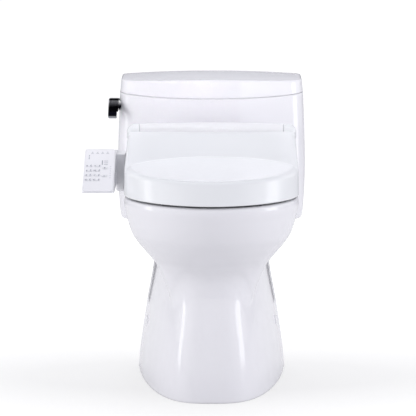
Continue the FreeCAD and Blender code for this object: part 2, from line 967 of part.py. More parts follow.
WELL_DROP_SHARES = [0, 0.115, 0.344, 0.592, 0.84, 1]
WELL_HALF_SHARES = [1, 1.03, 0.9, 0.6, 0.36, 0.22]
WELL_LENGTH_SHARES = [1, 1.02, 0.89, 0.63, 0.38, 0.24]
WELL_SHIFT_SHARES = [0, 0, 0.015, 0.133, 0.311, 0.385]


def bowl_inside(wall=0):
    """Well of the bowl down to the sump."""
    half, length, centre = sizes("opening_half", "opening_length / 2", "opening_centre")
    levels = []
    for drop, half_share, length_share, shift in zip(
            WELL_DROP_SHARES, WELL_HALF_SHARES, WELL_LENGTH_SHARES, WELL_SHIFT_SHARES):
        height = size("rim_height") - size("well_drop") * drop
        levels.append([height, centre + length * shift, half * half_share + wall,
                       length * length_share + wall])
    levels[0][0] += size("overrun")
    levels[-1][0] -= wall
    return loft([ellipse(*level) for level in levels])


def trap_path():
    """Waterway from the sump over the weir and down to the outlet."""
    points = [
        Vector(0, *sizes("sump_place", "sump_height")),
        Vector(0, *sizes("dip_place", "dip_height")),
        Vector(0, *sizes("weir_place", "weir_height")),
        Vector(0, *sizes("fall_place", "fall_height")),
        Vector(0, *sizes("return_place", "return_height")),
        Vector(0, 0, size("outlet_rise")),
        Vector(0, 0, -size("overrun")),
    ]
    return rounded_path(points, sizes("dip_bend", "weir_bend", "fall_bend", "return_bend", "outlet_bend"))


def flush_way(radius, longer=0):
    """Round way that takes the flush from the tank forward to the bowl."""
    way = Vector(0, -size("flush_run"), size("flush_rise")).normalize()
    start = Vector(0, size("flush_start"), size("flush_height")) - way * longer
    return Part.makeCylinder(radius, size("flush_length") + 2 * longer, start, way)


def bolt_holes(radius, deep):
    """Pair of upright cylinders at the seat's bolts, down from the rim."""
    side, place, low = sizes("bolt_side", "bolt_place", f"rim_height - {deep}")
    tall = size(f"{deep} + overrun")
    return [Part.makeCylinder(size(radius), tall, Vector(sign * side, place, low)) for name, sign in SIDES]


def china_room(bottom):
    """Hollow of the foot and of the double wall of the bowl, with the well and the waterways in it."""
    wall, half, reach = sizes("china_wall", "bowl_half", "bowl_reach")
    foot_room = block((-half, half), (-reach, reach), (bottom, size("foot_cavity_top")))
    bowl_room = block((-half, half), (-reach, size("bowl_cavity_back")),
                      sizes("bowl_cavity_low", "rim_height - rim_roof"))
    return pedestal(wall, bottom).common(foot_room).fuse(bowl_outer(wall).common(bowl_room))


def passages():
    """What the water fills: the well, the waterway behind it and the way from the tank."""
    return [bowl_inside(), tube(trap_path(), size("outlet_bore")), flush_way(size("flush_bore"))]


def cut_all(shape, tools):
    for tool in tools:
        shape = shape.cut(tool)
    return shape


def skirt_side():
    """Distance of the skirt's skin from the middle at the side fixings."""
    place, height, half = sizes("fixing_place", "fixing_height", "base_half")
    return pedestal().common(Part.makeLine(Vector(0, place, height),
                                           Vector(half, place, height))).BoundBox.XMax


def side_holes(radius, start):
    """Pair of level cylinders at the side fixings, out through the skirt."""
    place, height, half = sizes("fixing_place", "fixing_height", "base_half")
    return [Part.makeCylinder(size(radius), half - start, Vector(sign * start, place, height),
                              Vector(sign, 0, 0))
            for name, sign in SIDES]


def build_china():
    """Skirted outside with the rim, and the well with its waterways inside it."""
    bosses = bolt_holes("bolt_boss_radius", "bolt_boss_deep")
    wall, walls_out = sizes("china_wall", "flush_bore + outlet_wall")
    sleeves = bowl_inside(wall).fuse([tube(trap_path(), size("outlet_bore + outlet_wall")),
                                      flush_way(walls_out, size("outlet_wall"))])
    well = cut_all(sleeves.common(china_room(0)), bosses + passages())
    valve_hole = Part.makeCylinder(size("valve_hole"), size("tank_floor + overrun - valve_hole_bottom"),
                                   Vector(0, *sizes("valve_place", "valve_hole_bottom")))
    tools = [china_room(-size("overrun")).cut(bosses[0].fuse(bosses[1])), tank_solid(), valve_hole]
    tools += passages() + side_holes("fixing_hole", 0) + bolt_holes("sleeve_hole", "sleeve_hole_deep")
    tools += side_holes("side_cap_radius + side_cap_clearance", skirt_side() - size("side_cap_seat"))
    keep(free("china_bowl", cut_all(pedestal().fuse(bowl_outer()), tools)))
    keep(free("china_well", well))


# Tank and its lid

TANK_POWER = 2.6
TANK_STEPS = 6
TANK_HALF_SHARES = [0.935, 0.965, 1, 0.991, 0.971]
TANK_FRONT_SHARES = [1.133, 1.056, 1, 1, 1]
TANK_WELL_HALF_SHARE = 0.95


def tank_outline(height, half, front, inset=0):
    """Bowed front, flat back."""
    back, corner = size("tank_back") - inset, size("tank_corner_place")
    half -= inset
    sides = [(half, (corner + back) / 2), (half, back)]
    return egg_outline(height, half, -(front + inset), corner, sides, TANK_POWER, TANK_STEPS)


def tank_form(inset, bottom, foot_half_share):
    half, front = sizes("tank_half", "tank_front")
    heights = [bottom, bottom + size("tank_foot_rise")]
    heights += sizes("tank_floor + tank_full_rise", "tank_floor + tank_taper_rise",
                     "seam_height + tank_over")
    half_shares = [foot_half_share] + TANK_HALF_SHARES[1:]
    levels = zip(heights, half_shares, TANK_FRONT_SHARES)
    return loft([tank_outline(height, half * wide, front * forward, inset) for height, wide,
                 forward in levels])


def tank_solid():
    return tank_form(0, size("tank_floor"), TANK_HALF_SHARES[0])


def above_seam(offset, top):
    """Everything above the seam: arched in front, flat along the back wall."""
    half, low, rise, back = sizes("tank_half", "seam_height", "seam_rise", "tank_back")
    low += offset
    arch = Part.Arc(Vector(-half, 0, low + rise), Vector(0, 0, low), Vector(half, 0, low + rise)).toShape()
    corners = [(half, low + rise), (half, top), (-half, top), (-half, low + rise)]
    sides = Part.makePolygon([Vector(x, 0, z) for x, z in corners])
    wall_front = back - size("china_wall + overrun")
    front_part = Part.Face(Part.Wire([arch] + sides.Edges)).extrude(Vector(0, wall_front, 0))
    rear_part = block((-half, half), (wall_front, 2 * back - wall_front), (size("seam_rear"), top))
    return front_part.fuse(rear_part)


def tank_hole(radius, start, end):
    """Level hole at the lever between two distances from the middle."""
    far, near, place, height = sizes(start, end, "lever_place", "lever_height")
    return Part.makeCylinder(size(radius), far - near, Vector(-far, place, height), ALONG_X)


def build_tank():
    floor, over, thick = sizes("tank_floor", "overrun", "tank_floor_thick")
    shape = tank_solid().cut(tank_form(size("china_wall"), floor + thick, TANK_WELL_HALF_SHARE))
    shape = shape.cut(above_seam(0, size("overall_height")))
    for side, radius in ((0, "valve_hole"), (-size("fill_side"), "shank_radius + shank_clearance")):
        low = Vector(side, size("valve_place"), floor - over)
        shape = shape.cut(Part.makeCylinder(size(radius), thick + 2 * over, low))
    for radius, start, end in (
        ("lever_hole", "tank_half + overrun", "tank_half - bush_set"),
        ("escutcheon_spot", "tank_half + overrun", "tank_half - escutcheon_set"),
        ("lever_nut_spot", "tank_half - lever_nut_set", "tank_half - lever_nut_set - lever_nut_room"),
    ):
        shape = shape.cut(tank_hole(radius, start, end))
    return free("china_tank", shape)


LID_HALF_SHARES = [1, 0.994, 0.985]
LID_ROOF_HALF_SHARE = 0.98
LIP_HALF_SHARE = 0.96


def build_tank_lid():
    half, top, low, front = sizes("tank_lid_half", "overall_height", "seam_height", "tank_lid_front")
    draw, over, wall = sizes("tank_lid_draw", "overrun", "china_wall")
    lip_low = low - size("lip_drop")
    form = loft([
        tank_outline(lip_low, half, front),
        tank_outline(low + size("tank_lid_skirt"), half * LID_HALF_SHARES[1], front + draw),
        tank_outline(top + size("tank_lid_over"), half * LID_HALF_SHARES[2], front + 2 * draw),
    ])
    crown = size("tank_lid_crown")
    dome = Part.makeSphere(crown, Vector(0, size("tank_back - tank_lid_crown_set"), top - crown))
    form = form.common(dome).common(above_seam(size("lid_gap"), top + 2 * size("tank_lid_over")))
    roof = top - size("tank_lid_roof")
    rim_low, long = sizes("overall_height - tank_lid_roof + tank_lid_over", "tank_lid_skirt")
    rims = [edge for edge in form.Edges if edge.BoundBox.ZMin > rim_low and edge.Length > long]
    form = form.makeFillet(size("tank_lid_round"), rims)
    inside = wall + size("tank_lid_inside")
    hollow = loft([
        tank_outline(lip_low - over, half, front, inside),
        tank_outline(roof, half * LID_ROOF_HALF_SHARE, front, inside + 2 * draw),
    ])
    lip_front, lip_inset = front + size("lip_set"), wall + size("lip_clearance")
    lip = loft([
        tank_outline(level, half * LIP_HALF_SHARE, lip_front, lip_inset)
        for level in (lip_low, low + size("lip_rise"))
    ])
    return free("tank_lid", form.fuse(lip).cut(hollow))


# Fixings of the foot

def build_floor_fixings():
    makers = (("floor_brackets", bracket), ("floor_screws", floor_screw), ("side_screws", side_screw),
              ("side_caps", side_cap))
    for label, make in makers:
        keep(group(label, *[make(name, side) for name, side in SIDES]))


def bracket(name, side):
    """Angle on the floor that the skirt is screwed to from the side."""
    foot = box(f"bracket_foot_{name}", span(side, "bracket_inner", "bracket_outer"),
               ("fixing_place - bracket_half", "fixing_place + bracket_half"), ("0", "bracket_thick"))
    post = box(f"bracket_post_{name}", span(side, "bracket_post", "bracket_outer"),
               ("fixing_place - bracket_post_half", "fixing_place + bracket_post_half"),
               ("bracket_thick - overrun", "fixing_height + bracket_over"))
    floor_hole = rod(f"bracket_floor_hole_{name}", "Z", "floor_screw_radius + floor_screw_clearance",
                     "-overrun",
                     "bracket_thick + overrun", (f"{side} * floor_screw_side", "fixing_place"))
    start, end = span(side, "bracket_post - overrun", "bracket_outer + overrun")
    side_hole = rod(f"bracket_side_hole_{name}", "X", "bracket_hole", start, end,
                    ("fixing_place", "fixing_height"))
    return cut(f"bracket_{name}", fuse(f"bracket_joined_{name}", foot, post), floor_hole, side_hole)


def floor_screw(name, side):
    return turned(f"floor_screw_{name}", [
        ("0", "0"), ("floor_screw_radius", "0"), ("floor_screw_radius", "bracket_thick"),
        ("floor_screw_head", "bracket_thick"),
        ("floor_screw_head_top", "bracket_thick + floor_screw_head_tall"),
        ("0", "bracket_thick + floor_screw_head_tall"),
    ], f"{side} * floor_screw_side", "fixing_place", "0")


def side_frame(side):
    """Seat of a side fixing: its axis points out of the skirt."""
    seat = skirt_side() - size("side_cap_seat")
    base = Vector(side * seat, *sizes("fixing_place", "fixing_height"))
    return Placement(base, Rotation(Vector(0, 1, 0), QUARTER_TURN * side))


def side_screw(name, side):
    """Screw through the skirt into the bracket, its head outside under the cap."""
    screw = turned(f"side_screw_{name}", [
        ("0", "-side_screw_long"), ("side_screw_radius", "-side_screw_long"), ("side_screw_radius", "0"),
        ("side_screw_head", "0"), ("side_screw_head_top", "side_screw_head_rise"),
        ("0", "side_screw_head_tall"),
    ])
    return moved(screw, side_frame(side))


def side_cap(name, side):
    cap = turned(f"side_cap_{name}", [
        ("side_cap_inner", "0"), ("side_cap_radius", "0"), ("side_cap_radius", "side_cap_edge"),
        ("side_cap_radius - side_cap_edge", "side_cap_shoulder"), ("0", "side_cap_tall"),
        ("0", "side_cap_room"),
        ("side_cap_inner", "side_cap_room"),
    ])
    return moved(cap, side_frame(side))


# Fill valve

def build_fill_valve():
    over_floor = "tank_floor_thick"
    rest, head = "float_low - tank_floor - float_seat_gap", "head_height - tank_floor"
    keep(turned("fill_valve_body", [
        ("fill_bore", "-shank_drop"), ("shank_radius", "-shank_drop"),
        ("shank_radius", "-shank_plain_drop"),
        ("shank_radius + shank_step", "-shank_plain_drop"), ("shank_radius + shank_step", over_floor),
        ("fill_flange_radius", over_floor), ("fill_flange_radius", f"{over_floor} + fill_flange_thick"),
        ("fill_boss_radius", f"{over_floor} + fill_flange_thick + fill_boss_rise"),
        ("fill_boss_radius", rest),
        ("column_radius", rest), ("column_radius", head), ("head_radius", f"{head} + head_slope"),
        ("head_radius", f"{head} + head_tall"), ("fill_bore", f"{head} + head_tall"),
    ], "-fill_side", "valve_place", "tank_floor"))
    keep(turned("fill_valve_cap", [
        ("0", "0"), ("head_radius + cap_over", "0"), ("head_radius + cap_over", "cap_rim"),
        ("head_radius - cap_set", "cap_shoulder"), ("0", "cap_tall"),
    ], "-fill_side", "valve_place", "head_height + head_tall"))
    keep(hexagon_nut())
    keep(turned("float_cup", [
        ("column_radius + float_clearance", "0"), ("float_radius", "0"),
        ("float_radius", "float_tall - float_round"),
        ("float_radius - float_round", "float_tall"), ("column_radius + float_clearance", "float_tall"),
    ], "-fill_side", "valve_place", "float_low"))
    keep(refill_tube())


def hexagon_nut():
    corners = [(round(math.cos(turn), 4), round(math.sin(turn), 4))
               for turn in (math.pi / 3 * n for n in range(6))]
    outline = [(f"-fill_side + locknut_half * ({x})", f"valve_place + locknut_half * ({y})") for x,
               y in corners]
    hole = ("shank_radius + locknut_clearance", "-fill_side", "valve_place")
    return padded("fill_valve_locknut", "XY_Plane", outline, "locknut_tall", "tank_floor - locknut_tall",
                  [hole])


def refill_tube():
    """Thin tube from the fill valve's head over into the overflow pipe."""
    over = size("overflow_height + refill_over")
    start = Vector(*sizes("head_radius + refill_gap - fill_side", "valve_place",
                          "head_height + refill_port_rise"))
    points = [
        start,
        start + Vector(size("refill_run"), 0, 0),
        Vector(*sizes("-refill_rise_side", "refill_rise_place"), over),
        Vector(*sizes("-refill_end_side", "refill_end_place"), over),
        Vector(0, size("overflow_place"), over - size("refill_drop")),
        Vector(0, size("overflow_place"), over - size("refill_inside")),
    ]
    bends = sizes("refill_run_bend", "refill_rise_bend", "refill_end_bend", "refill_drop_bend")
    return free("refill_tube", tube(rounded_path(points, bends), size("refill_radius")))


# Flush valve

def build_flush_valve():
    floor, neck = "tank_floor_thick", "tank_floor_thick + valve_flange_thick"
    seat = turned("flush_valve_seat", [
        ("valve_throat", "-valve_tail"), ("valve_tail_radius", "-valve_tail"), ("valve_tail_radius", floor),
        ("valve_flange_radius", floor), ("valve_flange_radius", neck),
        ("valve_seat_radius + valve_lip", f"{neck} + valve_neck_rise"),
        ("valve_seat_radius + valve_lip", "valve_seat_rise - valve_lip_tall"),
        ("valve_seat_radius", "valve_seat_rise"),
        ("valve_seat_radius - valve_lip", "valve_seat_rise"),
        ("valve_throat", "valve_seat_rise - valve_throat_drop"),
    ], "0", "valve_place", "tank_floor")
    centre = ("0", "overflow_place")
    pipe = rod("overflow_pipe", "Z", "overflow_radius", f"tank_floor + {neck}", "overflow_height", centre)
    bore = rod("overflow_bore", "Z", "overflow_radius - overflow_wall",
               f"tank_floor + {neck} + overflow_sill",
               "overflow_height + overrun", centre)
    foot = box("overflow_foot", ("-overflow_foot_half", "overflow_foot_half"),
               ("overflow_place - overflow_foot_half", "valve_place - overflow_foot_set"),
               (f"tank_floor + {floor}", "valve_seat_height - overflow_foot_drop"))
    pegs = rod("flapper_pegs", "X", "peg_radius", "-peg_reach", "peg_reach",
               ("flapper_hinge_place", "flapper_hinge_height"))
    web = box("flapper_peg_web", ("-peg_web_half", "peg_web_half"),
              ("overflow_place", "flapper_hinge_place + peg_web_front"),
              ("flapper_hinge_height - peg_web_half_tall", "flapper_hinge_height + peg_web_half_tall"))
    keep(cut("flush_valve", fuse("flush_valve_joined", seat, pipe, foot, pegs, web), bore))
    keep(flapper())
    keep(rod("lift_chain", "Z", "chain_radius", "valve_seat_height + flapper_tail_high + chain_gap",
             "lever_height - lever_rail_half_tall - chain_gap", ("0", "chain_place")))


def flapper():
    """Valve disc with two arms that clip on the pegs and a tail for the chain."""
    hinge = ("flapper_hinge_place", "flapper_hinge_height")
    rim, top = "valve_seat_radius + flapper_over", "flapper_top"
    disc = turned("flapper_disc", [
        ("0", "flapper_crown_rise"), ("valve_seat_radius - flapper_set", "flapper_gap"),
        (rim, "flapper_gap"),
        (rim, "flapper_rim"), ("valve_seat_radius - flapper_shoulder_set", "flapper_shoulder"), ("0", top),
    ], "0", "valve_place", "valve_seat_height")
    arms, eyes = [], []
    for name, side in SIDES:
        across = span(side, "flapper_arm_in", "flapper_arm_out")
        arms.append(box(f"flapper_arm_{name}", across,
                        ("flapper_hinge_place - flapper_arm_front", "valve_place + flapper_arm_back"),
                        ("flapper_hinge_height - flapper_arm_low",
                         "flapper_hinge_height - flapper_arm_high")))
        eyes.append(rod(f"flapper_eye_{name}", "X", "flapper_eye", *across, hinge))
    reach = "flapper_arm_out + overrun"
    holes = rod("flapper_eye_holes", "X", "peg_radius + flapper_eye_clearance", f"-({reach})", reach, hinge)
    tail = box("flapper_tail", ("-flapper_tail_half", "flapper_tail_half"),
               ("valve_place + flapper_tail_start", "chain_place + flapper_tail_over"),
               ("valve_seat_height + flapper_tail_low", "valve_seat_height + flapper_tail_high"))
    return cut("flapper", fuse("flapper_joined", disc, tail, *arms, *eyes), holes)


# Flush lever

def build_lever():
    centre = ("lever_place", "lever_height")
    start, deep = "-lever_inner + escutcheon_gap", "-tank_half + bush_set"
    flange = rod("lever_flange", "X", "escutcheon_radius", start, "-tank_half + escutcheon_set", centre)
    bush = rod("lever_bush", "X", "bush_radius", start, deep, centre)
    bore = rod("lever_bush_bore", "X", "spindle_radius + spindle_clearance", "-tank_half - overrun",
               f"{deep} + overrun", centre)
    keep(cut("lever_escutcheon", fuse("lever_escutcheon_joined", flange, bush), bore))
    nut_start = "-tank_half + lever_nut_set"
    nut = rod("lever_nut_round", "X", "lever_nut_radius", nut_start, f"{nut_start} + lever_nut_thick",
              centre)
    nut_hole = rod("lever_nut_hole", "X", "bush_radius + bush_clearance", f"{nut_start} - overrun",
                   f"{deep} + overrun", centre)
    keep(cut("lever_nut", nut, nut_hole))
    keep(lever_handle())
    root = box("lever_arm_root", ("-lever_arm_side", "-lever_arm_side + lever_arm_thick"),
               ("lever_place - lever_arm_tail", "chain_place + lever_rail_half"),
               ("lever_height - lever_arm_half", "lever_height + lever_arm_half"))
    rail = box("lever_arm_rail", ("-lever_arm_side", "lever_rail_half"),
               ("chain_place - lever_rail_half", "chain_place + lever_rail_half"),
               ("lever_height - lever_rail_half_tall", "lever_height + lever_rail_half_tall"))
    keep(fuse("lever_arm", root, rail))


def lever_handle():
    """Outline seen from the side: tall at the spindle, drawn out forward and down."""
    rear, tip, low = "lever_place + lever_rear", "lever_place - lever_reach", "lever_height - lever_drop"
    blade = padded("lever_blade", "YZ_Plane", [
        (rear, "lever_height - lever_rear_low"), (rear, "lever_height + lever_top"),
        ("lever_place - lever_shoulder", "lever_height + lever_top"),
        (f"{tip} - lever_tip_over", f"{low} + lever_tip_high"),
        (f"{tip} - lever_tip_long", f"{low} - lever_tip_low"),
        (f"{tip} + lever_tip_under", f"{low} - lever_tip_low"),
        ("lever_place - lever_throat", "lever_height - lever_shoulder"),
    ], "lever_outer - lever_inner", "-lever_outer")
    rounded(blade, "lever_round", straight(ALONG_X))
    face = size("lever_round - lever_outer")
    rounded(blade, "lever_round", lambda edge: flat_across(edge) and edge.BoundBox.XMax < face)
    room = box("lever_finger_room", ("-lever_inner - lever_standoff", "-lever_inner + overrun"),
               (f"{tip} - lever_hold_long", f"{rear} + overrun"),
               (f"{low} - lever_hold_long", "lever_height - lever_hold_low"))
    spindle = rod("lever_spindle", "X", "spindle_radius", "-lever_inner - overrun", "-lever_arm_side",
                  ("lever_place", "lever_height"))
    return fuse("lever_handle", cut("lever_blade_stepped", blade, room), spindle)


# Mounting plate of the seat

def build_mounting():
    hole = "bolt_radius + bolt_clearance"
    plate = padded("plate_sheet", "XY_Plane", [
        ("-plate_half", "plate_front"), ("plate_half", "plate_front"),
        ("plate_half", "plate_back"), ("-plate_half", "plate_back"),
    ], "plate_thick", "rim_height", [(hole, "-bolt_side", "bolt_place"), (hole, "bolt_side", "bolt_place")])
    rounded(plate, "plate_round", straight(ALONG_Z))
    rail = box("plate_rail", ("-rail_half", "rail_half"), ("plate_front + rail_set", "plate_back - rail_set"),
               ("rim_height + overrun", "unit_bottom + rail_rise"))
    keep(fuse("mounting_plate", plate, rail))
    head = "plate_thick + bolt_head_tall"
    keep(group("mounting_bolts", *[turned(f"mounting_bolt_{name}", [
        ("0", "-bolt_long"), ("bolt_radius", "-bolt_long"), ("bolt_radius", "plate_thick"),
        ("bolt_head", "plate_thick"),
        ("bolt_head_top", head), ("0", head),
    ], f"{side} * bolt_side", "bolt_place", "rim_height") for name, side in SIDES]))
    inner = "bolt_radius + sleeve_clearance"
    keep(group("bolt_sleeves", *[turned(f"bolt_sleeve_{name}", [
        (inner, "-sleeve_bottom"), ("sleeve_radius", "-sleeve_bottom"), ("sleeve_radius", "-sleeve_top"),
        (inner, "-sleeve_top"),
    ], f"{side} * bolt_side", "bolt_place", "rim_height") for name, side in SIDES]))


# Bidet unit

def crowned_barrel(start, end, grow=0):
    """Length of the hinge barrel, which is thickest in the middle."""
    middle, tip, half = size("barrel_radius") + grow, size("barrel_end_radius") + grow, size("barrel_half")
    crown = Part.Circle(Vector(-half, tip, 0), Vector(0, middle, 0), Vector(half, tip, 0))

    def surface(place):
        return Vector(place, crown.Center.y + math.sqrt(crown.Radius ** 2 - place ** 2), 0)

    arc = Part.Arc(surface(start), surface((start + end) / 2), surface(end)).toShape()
    ends = Part.makePolygon([surface(end), Vector(end, 0, 0), Vector(start, 0, 0), surface(start)])
    solid = Part.Face(Part.Wire([arc] + ends.Edges)).revolve(Vector(), ALONG_X, FULL_TURN)
    solid.translate(Vector(0, *sizes("barrel_place", "barrel_height")))
    return solid


def walled(low, high):
    """A span drawn in at both ends by the thickness of a shell."""
    return (f"{low} + shell_wall", f"{high} - shell_wall")


def build_unit():
    keep(unit_base())
    keep(unit_cover())
    keep(group("lid_dampers", *[lid_damper(name, side) for name, side in SIDES]))
    hinge = ("seat_hinge_place", "seat_hinge_height")
    keep(group("seat_pins", *[
        rod(f"seat_pin_{name}", "X", "seat_pin_radius", *span(side, "nose_half - seat_pin_inside",
                                                              "seat_pin_end"), hinge)
        for name, side in SIDES
    ]))


def unit_base():
    rear = box("unit_base_block", ("-unit_half", "unit_half"), ("unit_front", "unit_back"),
               ("unit_bottom", "unit_split"))
    nose = box("nose_block", ("-nose_half", "nose_half"), ("nose_front", "unit_front"),
               ("unit_bottom", "nose_top"))
    inside = box("unit_base_inside", walled("-unit_half", "unit_half"), walled("unit_front", "unit_back"),
                 ("unit_floor", "unit_split + overrun"))
    nose_inside = box("nose_inside", walled("-nose_half", "nose_half"),
                      ("nose_front + shell_wall", "unit_front + shell_wall + overrun"),
                      ("unit_floor", "nose_top - shell_wall"))
    groove_half = "plate_half + groove_side_clearance"
    groove = box("unit_groove", (f"-({groove_half})", groove_half),
                 ("plate_front - groove_front_clearance", "unit_back + overrun"),
                 ("unit_bottom - overrun", "unit_bottom + rail_rise"))
    slot_half = "wand_radius + wand_slot_clearance"
    slot = box("wand_slot", (f"-({slot_half})", slot_half), ("nose_front - overrun",
                                                             "nose_front + wand_slot_deep"),
               ("unit_bottom - overrun", "wand_height + wand_slot_rise"))
    pin_end = "nose_half + overrun"
    pins = rod("seat_pin_bore", "X", "seat_pin_radius + seat_pin_clearance", f"-({pin_end})", pin_end,
               ("seat_hinge_place", "seat_hinge_height"))
    drawer = box("drawer_mouth", ("unit_half - drawer_deep - drawer_room", "unit_half + overrun"),
                 ("drawer_front - drawer_clearance", "drawer_back + drawer_clearance"),
                 ("drawer_low - drawer_clearance", "drawer_high + mouth_gap"))
    button = box("button_mouth", ("unit_half - button_deep - button_room", "unit_half + overrun"),
                 ("button_front - button_clearance", "button_back + button_clearance"),
                 ("button_low - mouth_gap", "button_low + button_tall + mouth_gap"))
    return cut("unit_base", fuse("unit_base_joined", rear, nose), inside, nose_inside, groove, slot, pins,
               drawer, button)


def unit_cover():
    body = padded("unit_cover_block", "YZ_Plane", [
        ("unit_front", "unit_split"), ("unit_back", "unit_split"),
        ("unit_back", "unit_shoulder - unit_round"),
        ("unit_back - unit_round", "unit_shoulder"), ("unit_front + unit_front_round", "unit_shoulder"),
        ("unit_front", "unit_shoulder - unit_front_round"),
    ], "2 * unit_half", "-unit_half")
    saddle = padded("unit_saddle", "YZ_Plane", [
        ("unit_front + unit_front_round", "unit_shoulder - saddle_set"),
        ("unit_back - unit_round", "unit_shoulder - saddle_set"),
        ("unit_back - saddle_back_set", "barrel_height - saddle_back_drop"),
        ("barrel_place + saddle_half", "barrel_height + saddle_rise"),
        ("barrel_place - saddle_half", "barrel_height"),
        ("unit_front + unit_front_round", "unit_shoulder + saddle_set"),
    ], "2 * barrel_half", "-barrel_half")
    barrel = free("hinge_barrel", crowned_barrel(*sizes("-barrel_half", "barrel_half")))
    hollow = box("unit_cover_inside", walled("-unit_half", "unit_half"), walled("unit_front", "unit_back"),
                 ("unit_split - overrun", "unit_shoulder - shell_wall"))
    doorway = box("unit_cover_doorway", walled("-nose_half", "nose_half"),
                  ("unit_front - overrun", "unit_front + shell_wall + overrun"),
                  ("unit_split - overrun", "nose_top - shell_wall"))
    deep = "barrel_half - damper_end_gap - damper_long - damper_end_gap"
    bores = [
        rod(f"damper_bore_{name}", "X", "damper_radius + damper_clearance",
            *span(side, deep, "barrel_half + overrun"),
            ("barrel_place", "barrel_height"))
        for name, side in SIDES
    ]
    return cut("unit_cover", fuse("unit_cover_joined", body, saddle, barrel), hollow, doorway, *bores)


def lid_damper(name, side):
    """Soft-closing cylinder in the barrel, whose pin carries the lid's ear."""
    centre = ("barrel_place", "barrel_height")
    end = "barrel_half - damper_end_gap"
    case = rod(f"damper_case_{name}", "X", "damper_radius", *span(side, f"{end} - damper_long", end),
               centre)
    pin = rod(f"damper_pin_{name}", "X", "lid_pin_radius", *span(side, "barrel_half - lid_pin_root",
                                                                 "unit_half - lid_pin_set"), centre)
    return fuse(f"lid_damper_{name}", case, pin)


# Inside the bidet unit

def build_inner_unit():
    heater = padded("water_heater", "XY_Plane", [
        ("-heater_outer", "heater_front"), ("-heater_inner", "heater_front"),
        ("-heater_inner", "heater_back"), ("-heater_outer", "heater_back"),
    ], "heater_tall", "unit_floor")
    keep(rounded(heater, "heater_round", straight(ALONG_Z)))
    pump_top = "unit_floor + pump_tall"
    pump = box("pump_body", ("-pump_outer", "-pump_inner"), ("pump_front", "pump_back"),
               ("unit_floor", pump_top))
    motor = rod("pump_motor", "Z", "motor_radius", f"{pump_top} - motor_overlap",
                f"{pump_top} + motor_tall",
                ("-motor_side", "motor_place"))
    keep(fuse("water_pump", pump, motor))
    board_top = "unit_floor + board_thick"
    keep(box("circuit_board", ("board_inner", "board_outer"), ("board_front", "board_back"),
             ("unit_floor", board_top)))
    keep(turned("deodorising_fan", [
        ("0", "0"), ("fan_radius - fan_chamfer", "0"), ("fan_radius", "fan_chamfer"),
        ("fan_radius", "fan_tall - fan_chamfer"),
        ("fan_radius - fan_chamfer", "fan_tall"), ("0", "fan_tall"),
    ], "fan_side", "fan_place", board_top))


def wand_way():
    """End of the wand's axis at rest, its direction down and forward, and the way up from it."""
    slope = math.radians(WAND_SLOPE)
    tip = Vector(0, *sizes("wand_place", "wand_height"))
    return tip, Vector(0, -math.cos(slope), -math.sin(slope)), Vector(0, -math.sin(slope), math.cos(slope))


def build_nozzle():
    tip, forward, up = wand_way()
    radius, length, head_long, tip_long = sizes("wand_radius", "wand_length", "wand_head_long",
                                                "wand_tip_long")
    keep(nozzle_guide(tip, forward))
    keep(free("nozzle_wand", Part.makeCylinder(radius, length - head_long, tip - forward * length, forward)))
    head = Part.makeCylinder(radius, head_long - tip_long, tip - forward * head_long, forward)
    end = Part.makeCone(radius, radius - size("wand_tip_draw"), tip_long, tip - forward * tip_long, forward)
    spray_deep = size("spray_deep")
    spray_low = tip - forward * size("spray_set") + up * (radius - spray_deep)
    spray = Part.makeCylinder(size("spray_radius"), 2 * spray_deep, spray_low, up)
    keep(free("nozzle_head", head.fuse(end).cut(spray)))


def nozzle_guide(tip, forward):
    """Sleeve that the wand slides in, on a foot on the unit's floor."""
    half, long, low = sizes("guide_half", "guide_long", "unit_floor")
    back = tip - forward * size("wand_length - guide_set")
    sleeve = block((-half, half), (-half, half), (0, long))
    sleeve.Placement = Placement(back, Rotation(ALONG_Z, forward))
    foot_front, foot_long, foot_tall = sizes("guide_foot_front", "guide_foot_long", "guide_foot_tall")
    foot = block((-half, half), (foot_front, foot_front + foot_long), (low, low + foot_tall))
    bore = Part.makeCylinder(size("wand_radius + guide_clearance"), 2 * long, back - forward * half * 2,
                             forward)
    room_half, room_front = sizes("guide_room_half", "nose_front + shell_wall + guide_room_gap")
    room = block((-room_half, room_half), (room_front, size("guide_room_back")),
                 (low, size("unit_shoulder - shell_wall - guide_room_roof")))
    return free("nozzle_guide", sleeve.fuse(foot).common(room).cut(bore))


# Pieces on the sides of the unit

